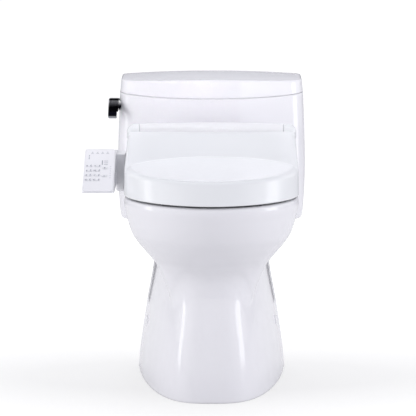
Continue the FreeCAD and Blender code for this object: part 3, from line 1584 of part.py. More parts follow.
def build_side_parts():
    outer = box("drawer_block", ("unit_half - drawer_deep", "unit_half"), ("drawer_front", "drawer_back"),
                ("drawer_low", "drawer_high"))
    inside = box("drawer_hollow", ("unit_half - drawer_deep + drawer_end", "unit_half - drawer_face"),
                 ("drawer_front + drawer_wall", "drawer_back - drawer_wall"),
                 ("drawer_low + drawer_wall", "drawer_high + overrun"))
    keep(cut("filter_drawer", outer, inside))
    keep(box("filter_block", ("unit_half - drawer_deep + drawer_end + filter_gap",
                              "unit_half - drawer_face - filter_gap"),
             ("drawer_front + drawer_wall + filter_gap", "drawer_back - drawer_wall - filter_gap"),
             ("drawer_low + drawer_wall", "drawer_low + drawer_wall + filter_tall")))
    keep(box("release_button", ("unit_half - button_deep", "unit_half + button_proud"),
             ("button_front", "button_back"),
             ("button_low", "button_low + button_tall")))
    keep(turned("water_inlet", [
        ("inlet_bore", "0"), ("inlet_tip", "0"), ("inlet_radius", "inlet_chamfer"),
        ("inlet_radius", "inlet_thread"),
        ("inlet_flange", "inlet_thread"), ("inlet_flange", "inlet_tall"), ("inlet_bore", "inlet_tall"),
    ], "inlet_side", "inlet_place", "inlet_height"))
    keep(turned("strainer_knob", [
        ("0", "0"), ("strainer_radius", "0"), ("strainer_radius", "strainer_head"),
        ("strainer_neck", "strainer_head + strainer_chamfer"), ("strainer_neck", "strainer_long"),
        ("0", "strainer_long"),
    ], "strainer_side", "arm_back + strainer_proud", "strainer_height", "-Y"))
    keep(turned("cord_gland", [
        ("gland_bore", "0"), ("gland_radius", "0"), ("gland_radius", "gland_flange"),
        ("gland_neck", "gland_long"), ("gland_bore", "gland_long"),
    ], "gland_side", "unit_back", "gland_height", "Y"))


# Seat ring

PLAN_POWER = 1.85
PLAN_STEPS = 6


def plan_outline(height, half, rear, reach, back):
    """One level of the seat's or the lid's plan."""
    widest = size("bowl_widest_place")
    far = widest + size("plan_side_far")
    sides = [(half, widest + size("plan_side_near")), (half, far), ((half + rear) / 2, (far + back) / 2),
             (rear, back)]
    return egg_outline(height, half, reach, widest, sides, PLAN_POWER, PLAN_STEPS)


def seat_blank(low, high):
    """Seat ring between two heights, open at the back round the nose."""
    half, reach, back, centre, over = sizes("seat_half", "seat_reach", "seat_back", "opening_centre",
                                            "overrun")
    rear = half - size("seat_narrow")
    blank = loft([plan_outline(level, half, rear, reach, back) for level in (low, high)])
    opening = sizes("seat_opening_half", "seat_opening_length / 2")
    inner = loft([ellipse(level, centre, *opening) for level in (low - over, high + over)])
    nose = size("nose_half + seat_gap_clearance")
    gap = block((-nose, nose), (centre + size("seat_gap_start"), size("barrel_place")),
                (low - over, high + over))
    return blank.cut(inner).cut(gap)


def build_seat():
    low, split, top = sizes("seat_bottom", "seat_split", "seat_top")
    base, upper = seat_blank(low, split), seat_blank(split, top)
    over = size("overrun")
    wide = size("seat_gap_start")
    rims = [edge for edge in upper.Edges
            if edge.BoundBox.ZMin > top - over and edge.BoundBox.XLength > wide]
    upper = upper.makeFillet(size("seat_round"), rims)
    place, height = sizes("seat_hinge_place", "seat_hinge_height")
    start, long = sizes("seat_eye_side", "seat_eye_long")
    web_front, web_low = place - size("seat_web_set"), height - size("seat_web_drop")
    for name, side in SIDES:
        near = start if side > 0 else -start - long
        eye = Part.makeCylinder(size("seat_eye_radius"), long, Vector(near, place, height), ALONG_X)
        eye = eye.fuse(block((near, near + long), (web_front, web_front + size("seat_web_deep")),
                             (web_low, web_low + size("seat_web_tall"))))
        upper = upper.fuse(eye)
        base = base.cut(eye)
    end = start + long + over
    bore = Part.makeCylinder(size("seat_pin_radius + seat_pin_clearance"), 2 * end,
                             Vector(-end, place, height), ALONG_X)
    keep(free("seat_base", base))
    keep(free("seat_top", upper.cut(bore)))
    keep(group("seat_bumpers", *[seat_bumper(name, side, end) for name, side in SIDES
                                 for end in ("front", "back")]))


def seat_bumper(name, side, end):
    across, along = f"{side} * seat_bumper_{end}_side", f"seat_bumper_{end}_place"
    return box(f"seat_bumper_{end}_{name}", (f"{across} - seat_bumper_half", f"{across} + seat_bumper_half"),
               (f"{along} - seat_bumper_half_long", f"{along} + seat_bumper_half_long"),
               ("rim_height", "seat_bottom"))


# Lid

def flat_height(place):
    """Height of the lid's flat oval, which rises a little to the back."""
    front = size("lid_rim - lid_reach")
    return size("lid_front_height") + (place - front) * math.tan(math.radians(LID_FLAT_SLOPE))


OVAL_PLACE_SHARES = [-0.9945, -0.951, -0.848, -0.682, -0.485, -0.242, 0, 0.242, 0.485, 0.682, 0.848, 0.951,
                     0.9945]


def above_lid_section(share, drop, top):
    """Side view of what lies above the lid, at one distance from the middle."""
    across = size("oval_half") * share
    edge = size("oval_centre") + size("oval_length") * math.sqrt(1 - share ** 2)
    rise_place, rise_height = sizes("rise_place", "rise_height")
    slope = (rise_height - flat_height(edge)) / (rise_place - edge)
    front, back = -size("lid_reach + above_front"), size("barrel_place + above_back")
    low = [(front, flat_height(front)), (edge, flat_height(edge)),
           (back, rise_height + slope * (back - rise_place))]
    points = [Vector(across, y, z - drop) for y, z in low]
    points += [Vector(across, back, top), Vector(across, front, top)]
    return Part.makePolygon(points + points[:1])


def above_lid(drop, top):
    """Everything above the lid: a flat oval in front, a slope up to the hinge behind it."""
    return loft([above_lid_section(share, drop, top) for share in OVAL_PLACE_SHARES])


SLOPED_WALL_SHARE = 1.08


def lid_block(inset, low, back, radius):
    """Lid's form as a block whose sides lean in as they rise."""
    high, front_height = sizes("rise_height + lid_high_rise", "lid_front_height")
    risen = (high - low) / (front_height - low)
    half, reach = size("lid_half") - inset, size("lid_reach") - inset
    top_half, top_reach = half - size("lid_side_lean") * risen, reach - size("lid_lean") * risen
    plan = loft([plan_outline(low, half, half, reach, back),
                 plan_outline(high, top_half, top_half, top_reach, back)])
    form = plan.cut(above_lid(inset * SLOPED_WALL_SHARE, high + size("above_top")))
    front_end, above = size("lid_front_rise - lid_reach"), low + size("lid_rim") / 2
    long, rising, thin = sizes("lid_half - above_back", "lid_room_back", "lid_room_back")
    front = [edge for edge in form.Edges if edge.BoundBox.YMin < front_end and edge.BoundBox.ZMin > above]
    sides = [edge for edge in form.Edges
             if edge.BoundBox.YLength > long and edge.BoundBox.ZLength > rising
             and edge.BoundBox.XLength < thin]
    return form.makeFillet(radius, front + sides)


def build_lid():
    low, back, wall, radius = sizes("lid_bottom", "lid_side_back", "lid_wall", "lid_round")
    outer = lid_block(0, low, back, radius)
    inner = lid_block(wall, low - size("overrun"), back + size("lid_room_back"), radius - wall)
    shape = outer.cut(inner)
    place, height, half = sizes("barrel_place", "barrel_height", "lid_half")
    gap, core = sizes("running_gap", "barrel_half + running_gap")
    web_front, web_low = place - size("ear_web_set"), height - size("ear_web_drop")
    for name, side in SIDES:
        start, end = (core, half) if side > 0 else (-half, -core)
        web = block((start, end), (web_front, web_front + size("ear_web_deep")),
                    (web_low, web_low + size("ear_web_tall")))
        shape = shape.fuse(crowned_barrel(start, end)).fuse(web.common(outer))
    bore = size("unit_half - lid_pin_hole_set")
    pins = Part.makeCylinder(size("lid_pin_radius + lid_pin_clearance"), 2 * bore,
                             Vector(-bore, place, height), ALONG_X)
    keep(free("lid_shell", shape.cut(crowned_barrel(-core, core, gap)).cut(pins)))
    keep(group("lid_bumpers", *[lid_bumper(name, side, end, inner) for name, side in SIDES
                                for end in ("front", "back")]))


def lid_bumper(name, side, end, inner):
    base = Vector(*sizes(f"{side} * lid_bumper_{end}_side", f"lid_bumper_{end}_place",
                         "seat_top + lid_bumper_gap"))
    stub = Part.makeCylinder(size("lid_bumper_radius"), size("lid_bumper_long"), base)
    return free(f"lid_bumper_{end}_{name}", stub.common(inner))


# Control arm and its panel

def arm_points():
    """Side view of the arm, whose top carries the sloping panel."""
    slope = math.radians(PANEL_SLOPE)
    sunk = f"panel_front_height - panel_thick / {math.cos(slope)}"
    brow = f"panel_front_place + panel_length * {math.cos(slope)}"
    brow_height = f"{sunk} + panel_length * {math.sin(slope)}"
    return [
        ("arm_front + arm_chin", "arm_bottom"), ("arm_front", "arm_bottom + arm_chin_rise"),
        ("panel_front_place", sunk),
        (brow, brow_height), (f"{brow} + arm_brow", f"{brow_height} + arm_brow_rise"),
        ("arm_back - arm_crown_set", "panel_front_height + arm_crown_rise"),
        ("arm_back - arm_heel_set", "arm_bottom + arm_heel_rise"),
        ("arm_back", "arm_bottom + arm_rear_rise"),
        ("arm_back", "arm_bottom"),
    ]


def panel_frame():
    """Placement of the panel: x across, y up the slope, z out of its face."""
    base = Vector(*sizes("(arm_outer + arm_inner) / 2", "panel_front_place", "panel_front_height"))
    return Placement(base, Rotation(ALONG_X, PANEL_SLOPE))


def on_panel(label, shape):
    shape = shape.copy()
    shape.Placement = panel_frame().multiply(shape.Placement)
    return free(label, shape)


KEY_ROWS = range(4)


def key_places():
    first, pitch = sizes("key_first_row", "key_pitch")
    columns = sizes("key_outer_column", "key_inner_column")
    places = [(column, first + row * pitch) for row in KEY_ROWS for column in columns]
    return places + [tuple(sizes("side_key_column", row)) for row in ("side_key_low", "side_key_high")]


def key_blank(x, y, grow, low, high):
    wide, long = size("key_long") / 2 + grow, size("key_wide") / 2 + grow
    return block((x - wide, x + wide), (y - long, y + long), (low, high))


def centred_slab(half, start, long, low, high):
    return block((-half, half), (start, start + long), (low, high))


def build_arm():
    profile = padded("arm_block", "YZ_Plane", arm_points(), "arm_inner - arm_outer", "arm_outer")
    back_end, crown = sizes("panel_front_place + panel_length - arm_chin / 2", "neck_top")
    rounded(profile, "arm_round", lambda edge: (
        flat_across(edge) and edge.BoundBox.ZMax > crown and edge.BoundBox.YMin > back_end))
    neck = box("arm_neck", ("arm_inner - neck_overlap", "-unit_half"),
               ("lid_side_back + neck_front", "arm_back - neck_set"),
               ("arm_bottom + neck_low", "neck_top"))
    cheek = box("arm_cheek", ("arm_inner - neck_overlap", "-lid_half - cheek_gap"),
                ("lid_side_back - cheek_front", "lid_side_back + cheek_back"),
                ("arm_bottom + neck_low", "neck_top"))
    half, thick = sizes("panel_half", "panel_thick")
    well = centred_slab(*sizes("panel_half - well_margin", "well_start", "well_long",
                               "-panel_thick - well_deep",
                               "overrun - panel_thick"))
    inlet = rod("inlet_seat", "Z", "inlet_flange + inlet_clearance", "arm_bottom - overrun",
                "inlet_height + inlet_tall",
                ("inlet_side", "inlet_place"))
    keep(cut("arm_housing", fuse("arm_joined", profile, neck, cheek), on_panel("key_well", well), inlet))
    keep_panel(half, thick)
    keep_panel_inside(thick)
    for number, (x, y) in enumerate(key_places(), start=1):
        keep(on_panel(f"key_{number}", key_cap(x, y, thick)))


def keep_panel(half, thick):
    """Panel film with its key holes, and the lamps in it."""
    margin, over = sizes("panel_margin", "overrun")
    plate = block((-half, half), (margin, size("panel_length") - margin), (-thick, 0))
    corners = [edge for edge in plate.Edges if straight(ALONG_Z)(edge)]
    plate = plate.makeFillet(size("panel_round"), corners)
    for x, y in key_places():
        plate = plate.cut(key_blank(x, y, size("key_clearance"), -thick - over, over))
    lamps = []
    for place in ("-lamp_outer_side", "-lamp_inner_side", "lamp_inner_side", "lamp_outer_side"):
        base = Vector(*sizes(place, "panel_length - lamp_set", "-panel_thick"))
        lamp = Part.makeCylinder(size("lamp_radius"), thick, base)
        lamps.append(on_panel(f"lamp_{len(lamps)}", lamp))
        plate = plate.cut(lamp)
    keep(on_panel("panel_plate", plate))
    keep(group("indicator_lamps", *lamps))


def keep_panel_inside(thick):
    """Rubber mat under the keys, the board under it and the ledge that carries both."""
    half, start, long = sizes("panel_half - well_margin - mat_gap", "well_start + mat_gap",
                              "well_long - 2 * mat_gap")
    mat_low = -thick - size("mat_drop")
    mat_thick = size("mat_thick")
    keep(on_panel("key_mat", centred_slab(half, start, long, mat_low, mat_low + mat_thick)))
    board_low = mat_low - mat_thick
    keep(on_panel("panel_board", centred_slab(half, start, long, board_low, mat_low)))


def key_cap(x, y, thick):
    """Key with a flange under the panel that holds it in."""
    cap = key_blank(x, y, 0, -thick - size("key_root"), size("key_proud"))
    top = [edge for edge in cap.Edges if edge.BoundBox.ZMin > 0]
    cap = cap.makeFillet(size("key_round"), top)
    return cap.fuse(key_blank(x, y, size("key_flange"), -thick - size("key_flange_thick"), -thick))


def build_all():
    build_china()
    keep(build_tank())
    keep(build_tank_lid())
    build_floor_fixings()
    build_fill_valve()
    build_flush_valve()
    build_lever()
    build_mounting()
    build_unit()
    build_inner_unit()
    build_nozzle()
    build_side_parts()
    build_seat()
    build_lid()
    build_arm()


def check():
    doc.recompute()
    failed = [item.Label for item in doc.Objects if "Invalid" in item.State or "Error" in item.State]
    if failed:
        raise RuntimeError("failed: " + ", ".join(failed))
    for item in exported:
        if item.Shape.isNull() or not item.Shape.isValid() or not item.Shape.Solids:
            raise RuntimeError(item.Label + " has no valid solid")


def export():
    for item in exported:
        item.Shape.exportStep(f"parts/{item.Label}.step")
        print(item.Label, len(item.Shape.Solids), "solids", round(item.Shape.Volume / 1000), "cm3")


build_all()
check()
export()
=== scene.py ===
import json
import math

import bpy
import numpy as np
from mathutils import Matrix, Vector


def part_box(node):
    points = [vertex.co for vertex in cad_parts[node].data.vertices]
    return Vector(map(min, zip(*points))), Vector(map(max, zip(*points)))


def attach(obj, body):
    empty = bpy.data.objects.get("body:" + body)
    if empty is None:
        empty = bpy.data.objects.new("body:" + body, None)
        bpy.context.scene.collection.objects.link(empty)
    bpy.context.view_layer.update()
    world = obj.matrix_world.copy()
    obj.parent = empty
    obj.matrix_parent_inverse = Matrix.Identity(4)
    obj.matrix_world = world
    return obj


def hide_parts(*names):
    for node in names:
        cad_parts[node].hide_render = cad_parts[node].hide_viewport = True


MM = 0.001

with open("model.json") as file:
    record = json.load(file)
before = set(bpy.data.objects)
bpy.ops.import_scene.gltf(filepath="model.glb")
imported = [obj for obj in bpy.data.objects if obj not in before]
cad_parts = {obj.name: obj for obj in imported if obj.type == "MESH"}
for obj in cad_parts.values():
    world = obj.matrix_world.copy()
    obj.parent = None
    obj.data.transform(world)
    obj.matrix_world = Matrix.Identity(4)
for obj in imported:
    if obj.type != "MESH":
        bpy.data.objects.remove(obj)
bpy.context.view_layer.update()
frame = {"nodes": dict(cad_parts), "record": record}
nodes = frame["nodes"]


# Sizes in millimetres, read from the frame or typed to match the solids

def low(node, axis):
    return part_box(node)[0][axis] / MM


def high(node, axis):
    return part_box(node)[1][axis] / MM


RIM = 427.0
TANK_FLOOR = low("china_tank", 2)
TANK_BACK = 289.8
TOP = high("tank_lid", 2)
LID_LOW = low("lid_shell", 2)
LID_HALF = 187.0
LID_REACH = 427.0


# Mesh helpers, with the counts of steps along the stretches of an outline

FRONT_STEPS, SIDE_STEPS, CORNER_STEPS, BACK_STEPS = 69, 59, 11, 19


def add_object(name, mesh, body, material=None, smooth=True):
    """Places a mesh in the scene, riding on a body where one is given."""
    item = bpy.data.objects.new(name, mesh)
    bpy.context.scene.collection.objects.link(item)
    if material is not None:
        mesh.materials.append(material)
    for face in mesh.polygons:
        face.use_smooth = smooth
    if body is not None:
        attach(item, body)
    return item


def mesh_piece(name, vertices, faces, body, material, smooth=True):
    """Mesh from places in millimetres."""
    mesh = bpy.data.meshes.new(name)
    mesh.from_pydata([tuple(MM * c for c in point) for point in vertices], [], faces)
    mesh.validate()
    return add_object(name, mesh, body, material, smooth)


def skin(name, rings, body, material, first_cap=False, last_cap=False, left_open=None):
    """Mesh through closed rings of points, each ring with the same count, but for what is left open."""
    count = len(rings[0])
    faces = []
    for level in range(len(rings) - 1):
        here, above = level * count, (level + 1) * count
        for index in range(count):
            following = (index + 1) % count
            if left_open is None or not left_open(level, index, following):
                faces.append((here + index, here + following, above + following, above + index))
    if first_cap:
        faces.append(tuple(reversed(range(count))))
    if last_cap:
        start = (len(rings) - 1) * count
        faces.append(tuple(start + index for index in range(count)))
    return mesh_piece(name, [point for ring in rings for point in ring], faces, body, material)


def smooth_steps(places, values, at):
    """Smooth curve through a few values, without overshoot."""
    places, values = np.array(places, float), np.array(values, float)
    rise = np.diff(values) / np.diff(places)
    slope = np.zeros(len(values))
    slope[0], slope[-1] = rise[0], rise[-1]
    for index in range(1, len(values) - 1):
        before, after = rise[index - 1], rise[index]
        slope[index] = 0 if before * after <= 0 else 2 * before * after / (before + after)
    at = np.clip(at, places[0], places[-1])
    cell = np.clip(np.searchsorted(places, at) - 1, 0, len(rise) - 1)
    width = places[cell + 1] - places[cell]
    share = (at - places[cell]) / width
    square, cube = share ** 2, share ** 3
    return (
        (2 * cube - 3 * square + 1) * values[cell] + (cube - 2 * square + share) * width * slope[cell]
        + (3 * square - 2 * cube) * values[cell + 1] + (cube - square) * width * slope[cell + 1]
    )


def ease(low_end, high_end, at):
    """Share that runs softly from 0 at the low end to 1 at the high end."""
    share = np.clip((at - low_end) / (high_end - low_end), 0, 1)
    return share * share * (3 - 2 * share)


def closed_back(side_x, side_y, back, corner):
    """Right half outline finished with a rounded corner and a straight back."""
    turn = np.linspace(0, math.pi / 2, CORNER_STEPS + 1)[1:]
    round_x = side_x[-1] - corner + corner * np.cos(turn)
    round_y = back - corner + corner * np.sin(turn)
    back_x = np.linspace(round_x[-1], 0, BACK_STEPS + 1)[1:]
    across = np.concatenate([side_x, round_x, back_x])
    return across, np.concatenate([side_y, round_y, np.full(len(back_x), back)])


def egg(half, reach, widest, sides, back, power, corner):
    """Half outline from the front middle to the back middle, with shaped sides."""
    turn = np.linspace(0, math.pi / 2, FRONT_STEPS + 1)
    front_x = half * np.sin(turn) ** (2 / power)
    front_y = widest + (-reach - widest) * np.cos(turn) ** (2 / power)
    side_y = np.linspace(widest, back - corner, SIDE_STEPS + 1)[1:]
    side_x = smooth_steps([widest] + [y for x, y in sides], [half] + [x for x, y in sides], side_y)
    return closed_back(np.concatenate([front_x, side_x]), np.concatenate([front_y, side_y]), back, corner)


def turns(count):
    """Evenly spaced angles of the spokes, from the back round the front."""
    return np.linspace(-math.pi, math.pi, count, endpoint=False)


def quarter_turns(first_share, count):
    """Angles up to a right angle, for the steps of a rounded edge."""
    return np.linspace(first_share, 1, count) * math.pi / 2


def spoke_radii(outline, centre, count):
    """Distance of an outline from a centre along evenly turned spokes, from the back round the front."""
    across, along = outline
    angle = np.arctan2(across, centre - along)
    radius = np.hypot(across, along - centre)
    order = np.argsort(angle)
    return np.interp(np.abs(turns(count)), angle[order], radius[order])


def spoke_points(radii, centre, heights):
    """Places at given radii along the spokes round a centre, at one height or at one for each."""
    turn = turns(len(radii))
    across = radii * np.sin(turn)
    along = centre - radii * np.cos(turn)
    return list(zip(across, along, np.broadcast_to(heights, across.shape)))


def soft_max(first, second, blend):
    """The greater of two values, run softly from one to the other over a blend."""
    share = np.clip(0.5 + 0.5 * (second - first) / blend, 0, 1)
    return first + (second - first) * share + blend * share * (1 - share) / 2


# Procedural materials

SLOW_DETAIL, FINE_DETAIL, FINE_SCALE = 3, 4, 14
SHADE_LOW, SHADE_HIGH = 0.3, 0.7
BUMP_DEPTH = 0.2 * MM
COAT_ROUGHNESS = 0.05
SHARP_ANGLE = math.radians(40)
COLOUR, NUMBER, VECTOR = "NodeSocketColor", "NodeSocketFloat", "NodeSocketVector"
GROUP_INPUTS = (
    ("Base Colour", COLOUR), ("Drift", NUMBER), ("Scale", NUMBER),
    ("Roughness", NUMBER), ("Roughness Spread", NUMBER), ("Bump Height", NUMBER),
)
GROUP_OUTPUTS = (("Colour", COLOUR), ("Roughness", NUMBER), ("Normal", VECTOR))


def noise_pair(tree, source):
    """A slow noise and a finer one, both over the object's own coordinates."""
    node, link = tree.nodes.new, tree.links.new
    place, finer = node("ShaderNodeTexCoord"), node("ShaderNodeMath")
    slow, fine = node("ShaderNodeTexNoise"), node("ShaderNodeTexNoise")
    slow.inputs["Detail"].default_value = SLOW_DETAIL
    fine.inputs["Detail"].default_value = FINE_DETAIL
    finer.operation = "MULTIPLY"
    finer.inputs[1].default_value = FINE_SCALE
    link(source.outputs["Scale"], slow.inputs["Scale"])
    link(source.outputs["Scale"], finer.inputs[0])
    link(finer.outputs[0], fine.inputs["Scale"])
    for noise in (slow, fine):
        link(place.outputs["Object"], noise.inputs["Vector"])
    return slow, fine


def vary_colour(tree, source, slow, result):
    """Base colour, darkened by up to the drift as the slow noise rises."""
    node, link = tree.nodes.new, tree.links.new
    shade, darker, tone = node("ShaderNodeMapRange"), node("ShaderNodeMath"), node("ShaderNodeMix")
    shade.inputs["From Min"].default_value = SHADE_LOW
    shade.inputs["From Max"].default_value = SHADE_HIGH
    shade.inputs["To Min"].default_value = 1.0
    darker.operation = "SUBTRACT"
    darker.inputs[0].default_value = 1.0
    tone.data_type = "RGBA"
    tone.blend_type = "MULTIPLY"
    tone.inputs["Factor"].default_value = 1.0
    link(source.outputs["Drift"], darker.inputs[1])
    link(darker.outputs[0], shade.inputs["To Max"])
    link(slow.outputs["Fac"], shade.inputs["Value"])
    link(source.outputs["Base Colour"], tone.inputs["A"])
    link(shade.outputs["Result"], tone.inputs["B"])
    link(tone.outputs["Result"], result.inputs["Colour"])


def vary_finish(tree, source, fine, result):
    """Roughness and bump that follow the fine noise."""
    node, link = tree.nodes.new, tree.links.new
    rough, bump = node("ShaderNodeMath"), node("ShaderNodeBump")
    rough.operation = "MULTIPLY_ADD"
    bump.inputs["Distance"].default_value = BUMP_DEPTH
    link(fine.outputs["Fac"], rough.inputs[0])
    link(source.outputs["Roughness Spread"], rough.inputs[1])
    link(source.outputs["Roughness"], rough.inputs[2])
    link(rough.outputs[0], result.inputs["Roughness"])
    link(source.outputs["Bump Height"], bump.inputs["Strength"])
    link(fine.outputs["Fac"], bump.inputs["Height"])
    link(bump.outputs["Normal"], result.inputs["Normal"])


def surface_group():
    """Group shared by all materials, with its own colour, roughness and bump for each of them."""
    tree = bpy.data.node_groups.new("surface_variation", "ShaderNodeTree")
    for direction, sockets in (("INPUT", GROUP_INPUTS), ("OUTPUT", GROUP_OUTPUTS)):
        for title, kind in sockets:
            tree.interface.new_socket(title, in_out=direction, socket_type=kind)
    source, result = tree.nodes.new("NodeGroupInput"), tree.nodes.new("NodeGroupOutput")
    slow, fine = noise_pair(tree, source)
    vary_colour(tree, source, slow, result)
    vary_finish(tree, source, fine, result)
    return tree


VARIATION = surface_group()


def varied_material(name, colour, roughness, drift=0.03, scale=6.0, spread=0.05, bump=0.1,
                    metallic=0.0, coat=0.0):
    """Principled surface fed by the shared variation group."""
    material = bpy.data.materials.new(name)
    material.use_nodes = True
    tree = material.node_tree
    shader = tree.nodes["Principled BSDF"]
    shader.inputs["Metallic"].default_value = metallic
    shader.inputs["Coat Weight"].default_value = coat
    shader.inputs["Coat Roughness"].default_value = COAT_ROUGHNESS
    group = tree.nodes.new("ShaderNodeGroup")
    group.node_tree = VARIATION
    for title, value in (("Drift", drift), ("Scale", scale), ("Roughness", roughness),
                         ("Roughness Spread", spread), ("Bump Height", bump)):
        group.inputs[title].default_value = value
    group.inputs["Base Colour"].default_value = (*colour, 1)
    for title, socket in (("Colour", "Base Color"), ("Roughness", "Roughness"), ("Normal", "Normal")):
        tree.links.new(group.outputs[title], shader.inputs[socket])
    return material


def banded(material, bands):
    """Feeds the material's base colour from stops along the object's own height, in millimetres."""
    tree = material.node_tree
    group = next(node for node in tree.nodes if node.type == "GROUP")
    place, parts = tree.nodes.new("ShaderNodeTexCoord"), tree.nodes.new("ShaderNodeSeparateXYZ")
    reach, ramp = tree.nodes.new("ShaderNodeMapRange"), tree.nodes.new("ShaderNodeValToRGB")
    start, end = bands[0][0], bands[-1][0]
    reach.inputs["From Min"].default_value = start * MM
    reach.inputs["From Max"].default_value = end * MM
    tree.links.new(place.outputs["Object"], parts.inputs["Vector"])
    tree.links.new(parts.outputs["Z"], reach.inputs["Value"])
    tree.links.new(reach.outputs["Result"], ramp.inputs["Fac"])
    stops = ramp.color_ramp.elements
    while len(stops) < len(bands):
        stops.new(0.5)
    for stop, (height, colour) in zip(stops, bands):
        stop.position = (height - start) / (end - start)
        stop.color = (*colour, 1)
    tree.links.new(ramp.outputs["Color"], group.inputs["Base Colour"])
    return material


CHINA = varied_material("china_glaze", (0.90, 0.895, 0.925), 0.12, drift=0.02, scale=3, coat=0.5)
SEAT = varied_material("seat_plastic", (0.885, 0.90, 0.915), 0.2, drift=0.015, scale=5, bump=0.06, coat=0.25)
UNIT = varied_material("unit_plastic", (0.89, 0.89, 0.91), 0.26, drift=0.015, scale=6, bump=0.08, coat=0.1)
PANEL = varied_material("panel_film", (0.89, 0.89, 0.92), 0.34, drift=0.02, scale=9, bump=0.05)
KEY = varied_material("key_plastic", (0.85, 0.855, 0.885), 0.38, drift=0.02, scale=30, bump=0.05)
INNER = varied_material("inner_plastic", (0.62, 0.62, 0.60), 0.5, drift=0.05, scale=12, spread=0.1, bump=0.2)
RUBBER = varied_material("soft_rubber", (0.16, 0.16, 0.17), 0.7, drift=0.1, scale=20, spread=0.1, bump=0.4)
STEEL = varied_material("steel", (0.55, 0.56, 0.58), 0.3, drift=0.05, scale=30, spread=0.15, bump=0.2,
                        metallic=1.0)
BRASS = varied_material("brass_fitting", (0.66, 0.50, 0.24), 0.25, drift=0.06, scale=30, spread=0.12,
                        metallic=1.0)
CARBON = varied_material("filter_media", (0.05, 0.05, 0.05), 0.9, drift=0.3, scale=60, bump=0.9)
BOARD = varied_material("circuit_board", (0.03, 0.16, 0.08), 0.4, drift=0.2, scale=40, spread=0.2, bump=0.2)
LAMP = varied_material("lamp_lens", (0.36, 0.38, 0.42), 0.2, drift=0.05, scale=50, bump=0.02)
PRINT = varied_material("panel_print", (0.34, 0.35, 0.40), 0.5, drift=0.05, scale=50, bump=0.05)

# Painted reflection: dark, grey and bright bands painted into the lever chrome's base colour along its
# height stand in for the surroundings its chrome mirrors, with a painted highlight near its top
CHROME_PAINTED_REFLECTIONS = banded(
    varied_material("lever_chrome", (0.1, 0.1, 0.1), 0.2, drift=0.03, scale=20, metallic=1.0),
    [(562, (0.02, 0.02, 0.02)), (564, (0.37, 0.38, 0.40)), (567, (0.37, 0.38, 0.40)),
     (569, (0.004, 0.004, 0.008)), (588, (0.004, 0.004, 0.008)), (592, (0.25, 0.25, 0.27)),
     (599, (0.90, 0.91, 0.93)), (601, (0.01, 0.01, 0.012)), (604, (0.004, 0.004, 0.006))],
)

SLOT_MATERIALS = {
    "china": CHINA, "seat_plastic": SEAT, "unit_plastic": UNIT, "panel_film": PANEL, "key_plastic": KEY,
    "inner_plastic": INNER, "soft_rubber": RUBBER, "lever_chrome": CHROME_PAINTED_REFLECTIONS, "steel": STEEL,
    "brass_fitting": BRASS, "filter_media": CARBON, "board": BOARD, "lamp": LAMP,
}


def dress_nodes():
    """Gives every carried-over node the material of its slot."""
    for part in frame["record"]["subparts"]:
        item = nodes[part["node"]]
        item.data.materials.clear()
        item.data.materials.append(SLOT_MATERIALS[part["material_slot"]])


def round_edges(item, width, segments):
    """Rounds the sharp edges of a piece."""
    round_off = item.modifiers.new("soft_edges", "BEVEL")
    round_off.width = width * MM
    round_off.segments = segments
    round_off.limit_method = "ANGLE"
    round_off.angle_limit = SHARP_ANGLE
    round_off.harden_normals = True


# China: one skin over the skirted foot and the bowl

CHINA_SPOKES = 300
CHINA_ROWS = 120
CHINA_CENTRE = -60.0
CHINA_BACK, CHINA_CORNER = 160.0, 5.0
CHINA_WALL = 11.0
HOLLOW_LEVELS = (285, 200, 120, 60, 0)
FOOT_WIDEST = 85.0
FOOT_LEVELS = [0, 45, 135, 254, 345]
FOOT_HALF = [162, 158, 145, 125, 118.7]
FOOT_REACH = [332, 329, 318, 297, 267.3]
FOOT_POINTS, FOOT_SPREAD, FOOT_BLUNTNESS = 120, 1.4, 3
FOOT_FADE = 1.6
FOOT_EDGE, FOOT_EDGE_LEVELS = 1.6, [0, 0.8, 2.5]
LOWEST_ROW = 6.0
BOWL_LEVELS = [195, 224.9, 252.1, 282.9, 305, 327, 350.9, 389, 417, 427]
BOWL_HALF = [85.6, 93.9, 104.2, 119, 135.8, 154.4, 170, 181.4, 186, 183.5]
BOWL_REACH = [279.8, 291.7, 301.9, 324.4, 349.8, 373.1, 394.3, 414.7, 424, 421.5]
BOWL_REAR = [68.4, 75.1, 83.3, 101.2, 115.3, 132.8, 167.4, 178.6, 184.1, 183.5]
BETWEEN_SHARE, BETWEEN_PLACE, REAR_PLACE = 0.6, -60, 60
WIDEST = -212.0
PLAN_POWER = 1.85
FRONT_BLEND, SIDE_BLEND = 36, 5
CREASE_TURNS = math.radians(12), math.radians(34)
RIM_ROUND = 7.0
MOUTH_CENTRE, MOUTH_HALF, MOUTH_LENGTH = -235, 118, 135

# Depths under the rim, each with how far the ring stands outside the bowl's mouth
MOUTH_STEPS = ((0, 6), (0.5, 3.4), (2, 1.4), (5, 0.1), (11, -0.2), (20, -0.3))


def foot_radii(height):
    """Blunt skirted foot, which shrinks above its top level so that the bowl covers it."""
    half = float(smooth_steps(FOOT_LEVELS, FOOT_HALF, height))
    reach = float(smooth_steps(FOOT_LEVELS, FOOT_REACH, height))
    share = np.linspace(0, 1, FOOT_POINTS) ** 2
    side_x = half * (1 - (1 - share) ** FOOT_SPREAD) ** (1 / FOOT_BLUNTNESS)
    side_y = -reach + share * (reach + FOOT_WIDEST)
    side_x, side_y = np.append(side_x, half), np.append(side_y, CHINA_BACK - CHINA_CORNER)
    outline = closed_back(side_x, side_y, CHINA_BACK, CHINA_CORNER)
    fade = max(0.0, height - FOOT_LEVELS[-1]) * FOOT_FADE
    return spoke_radii(outline, CHINA_CENTRE, CHINA_SPOKES) - fade


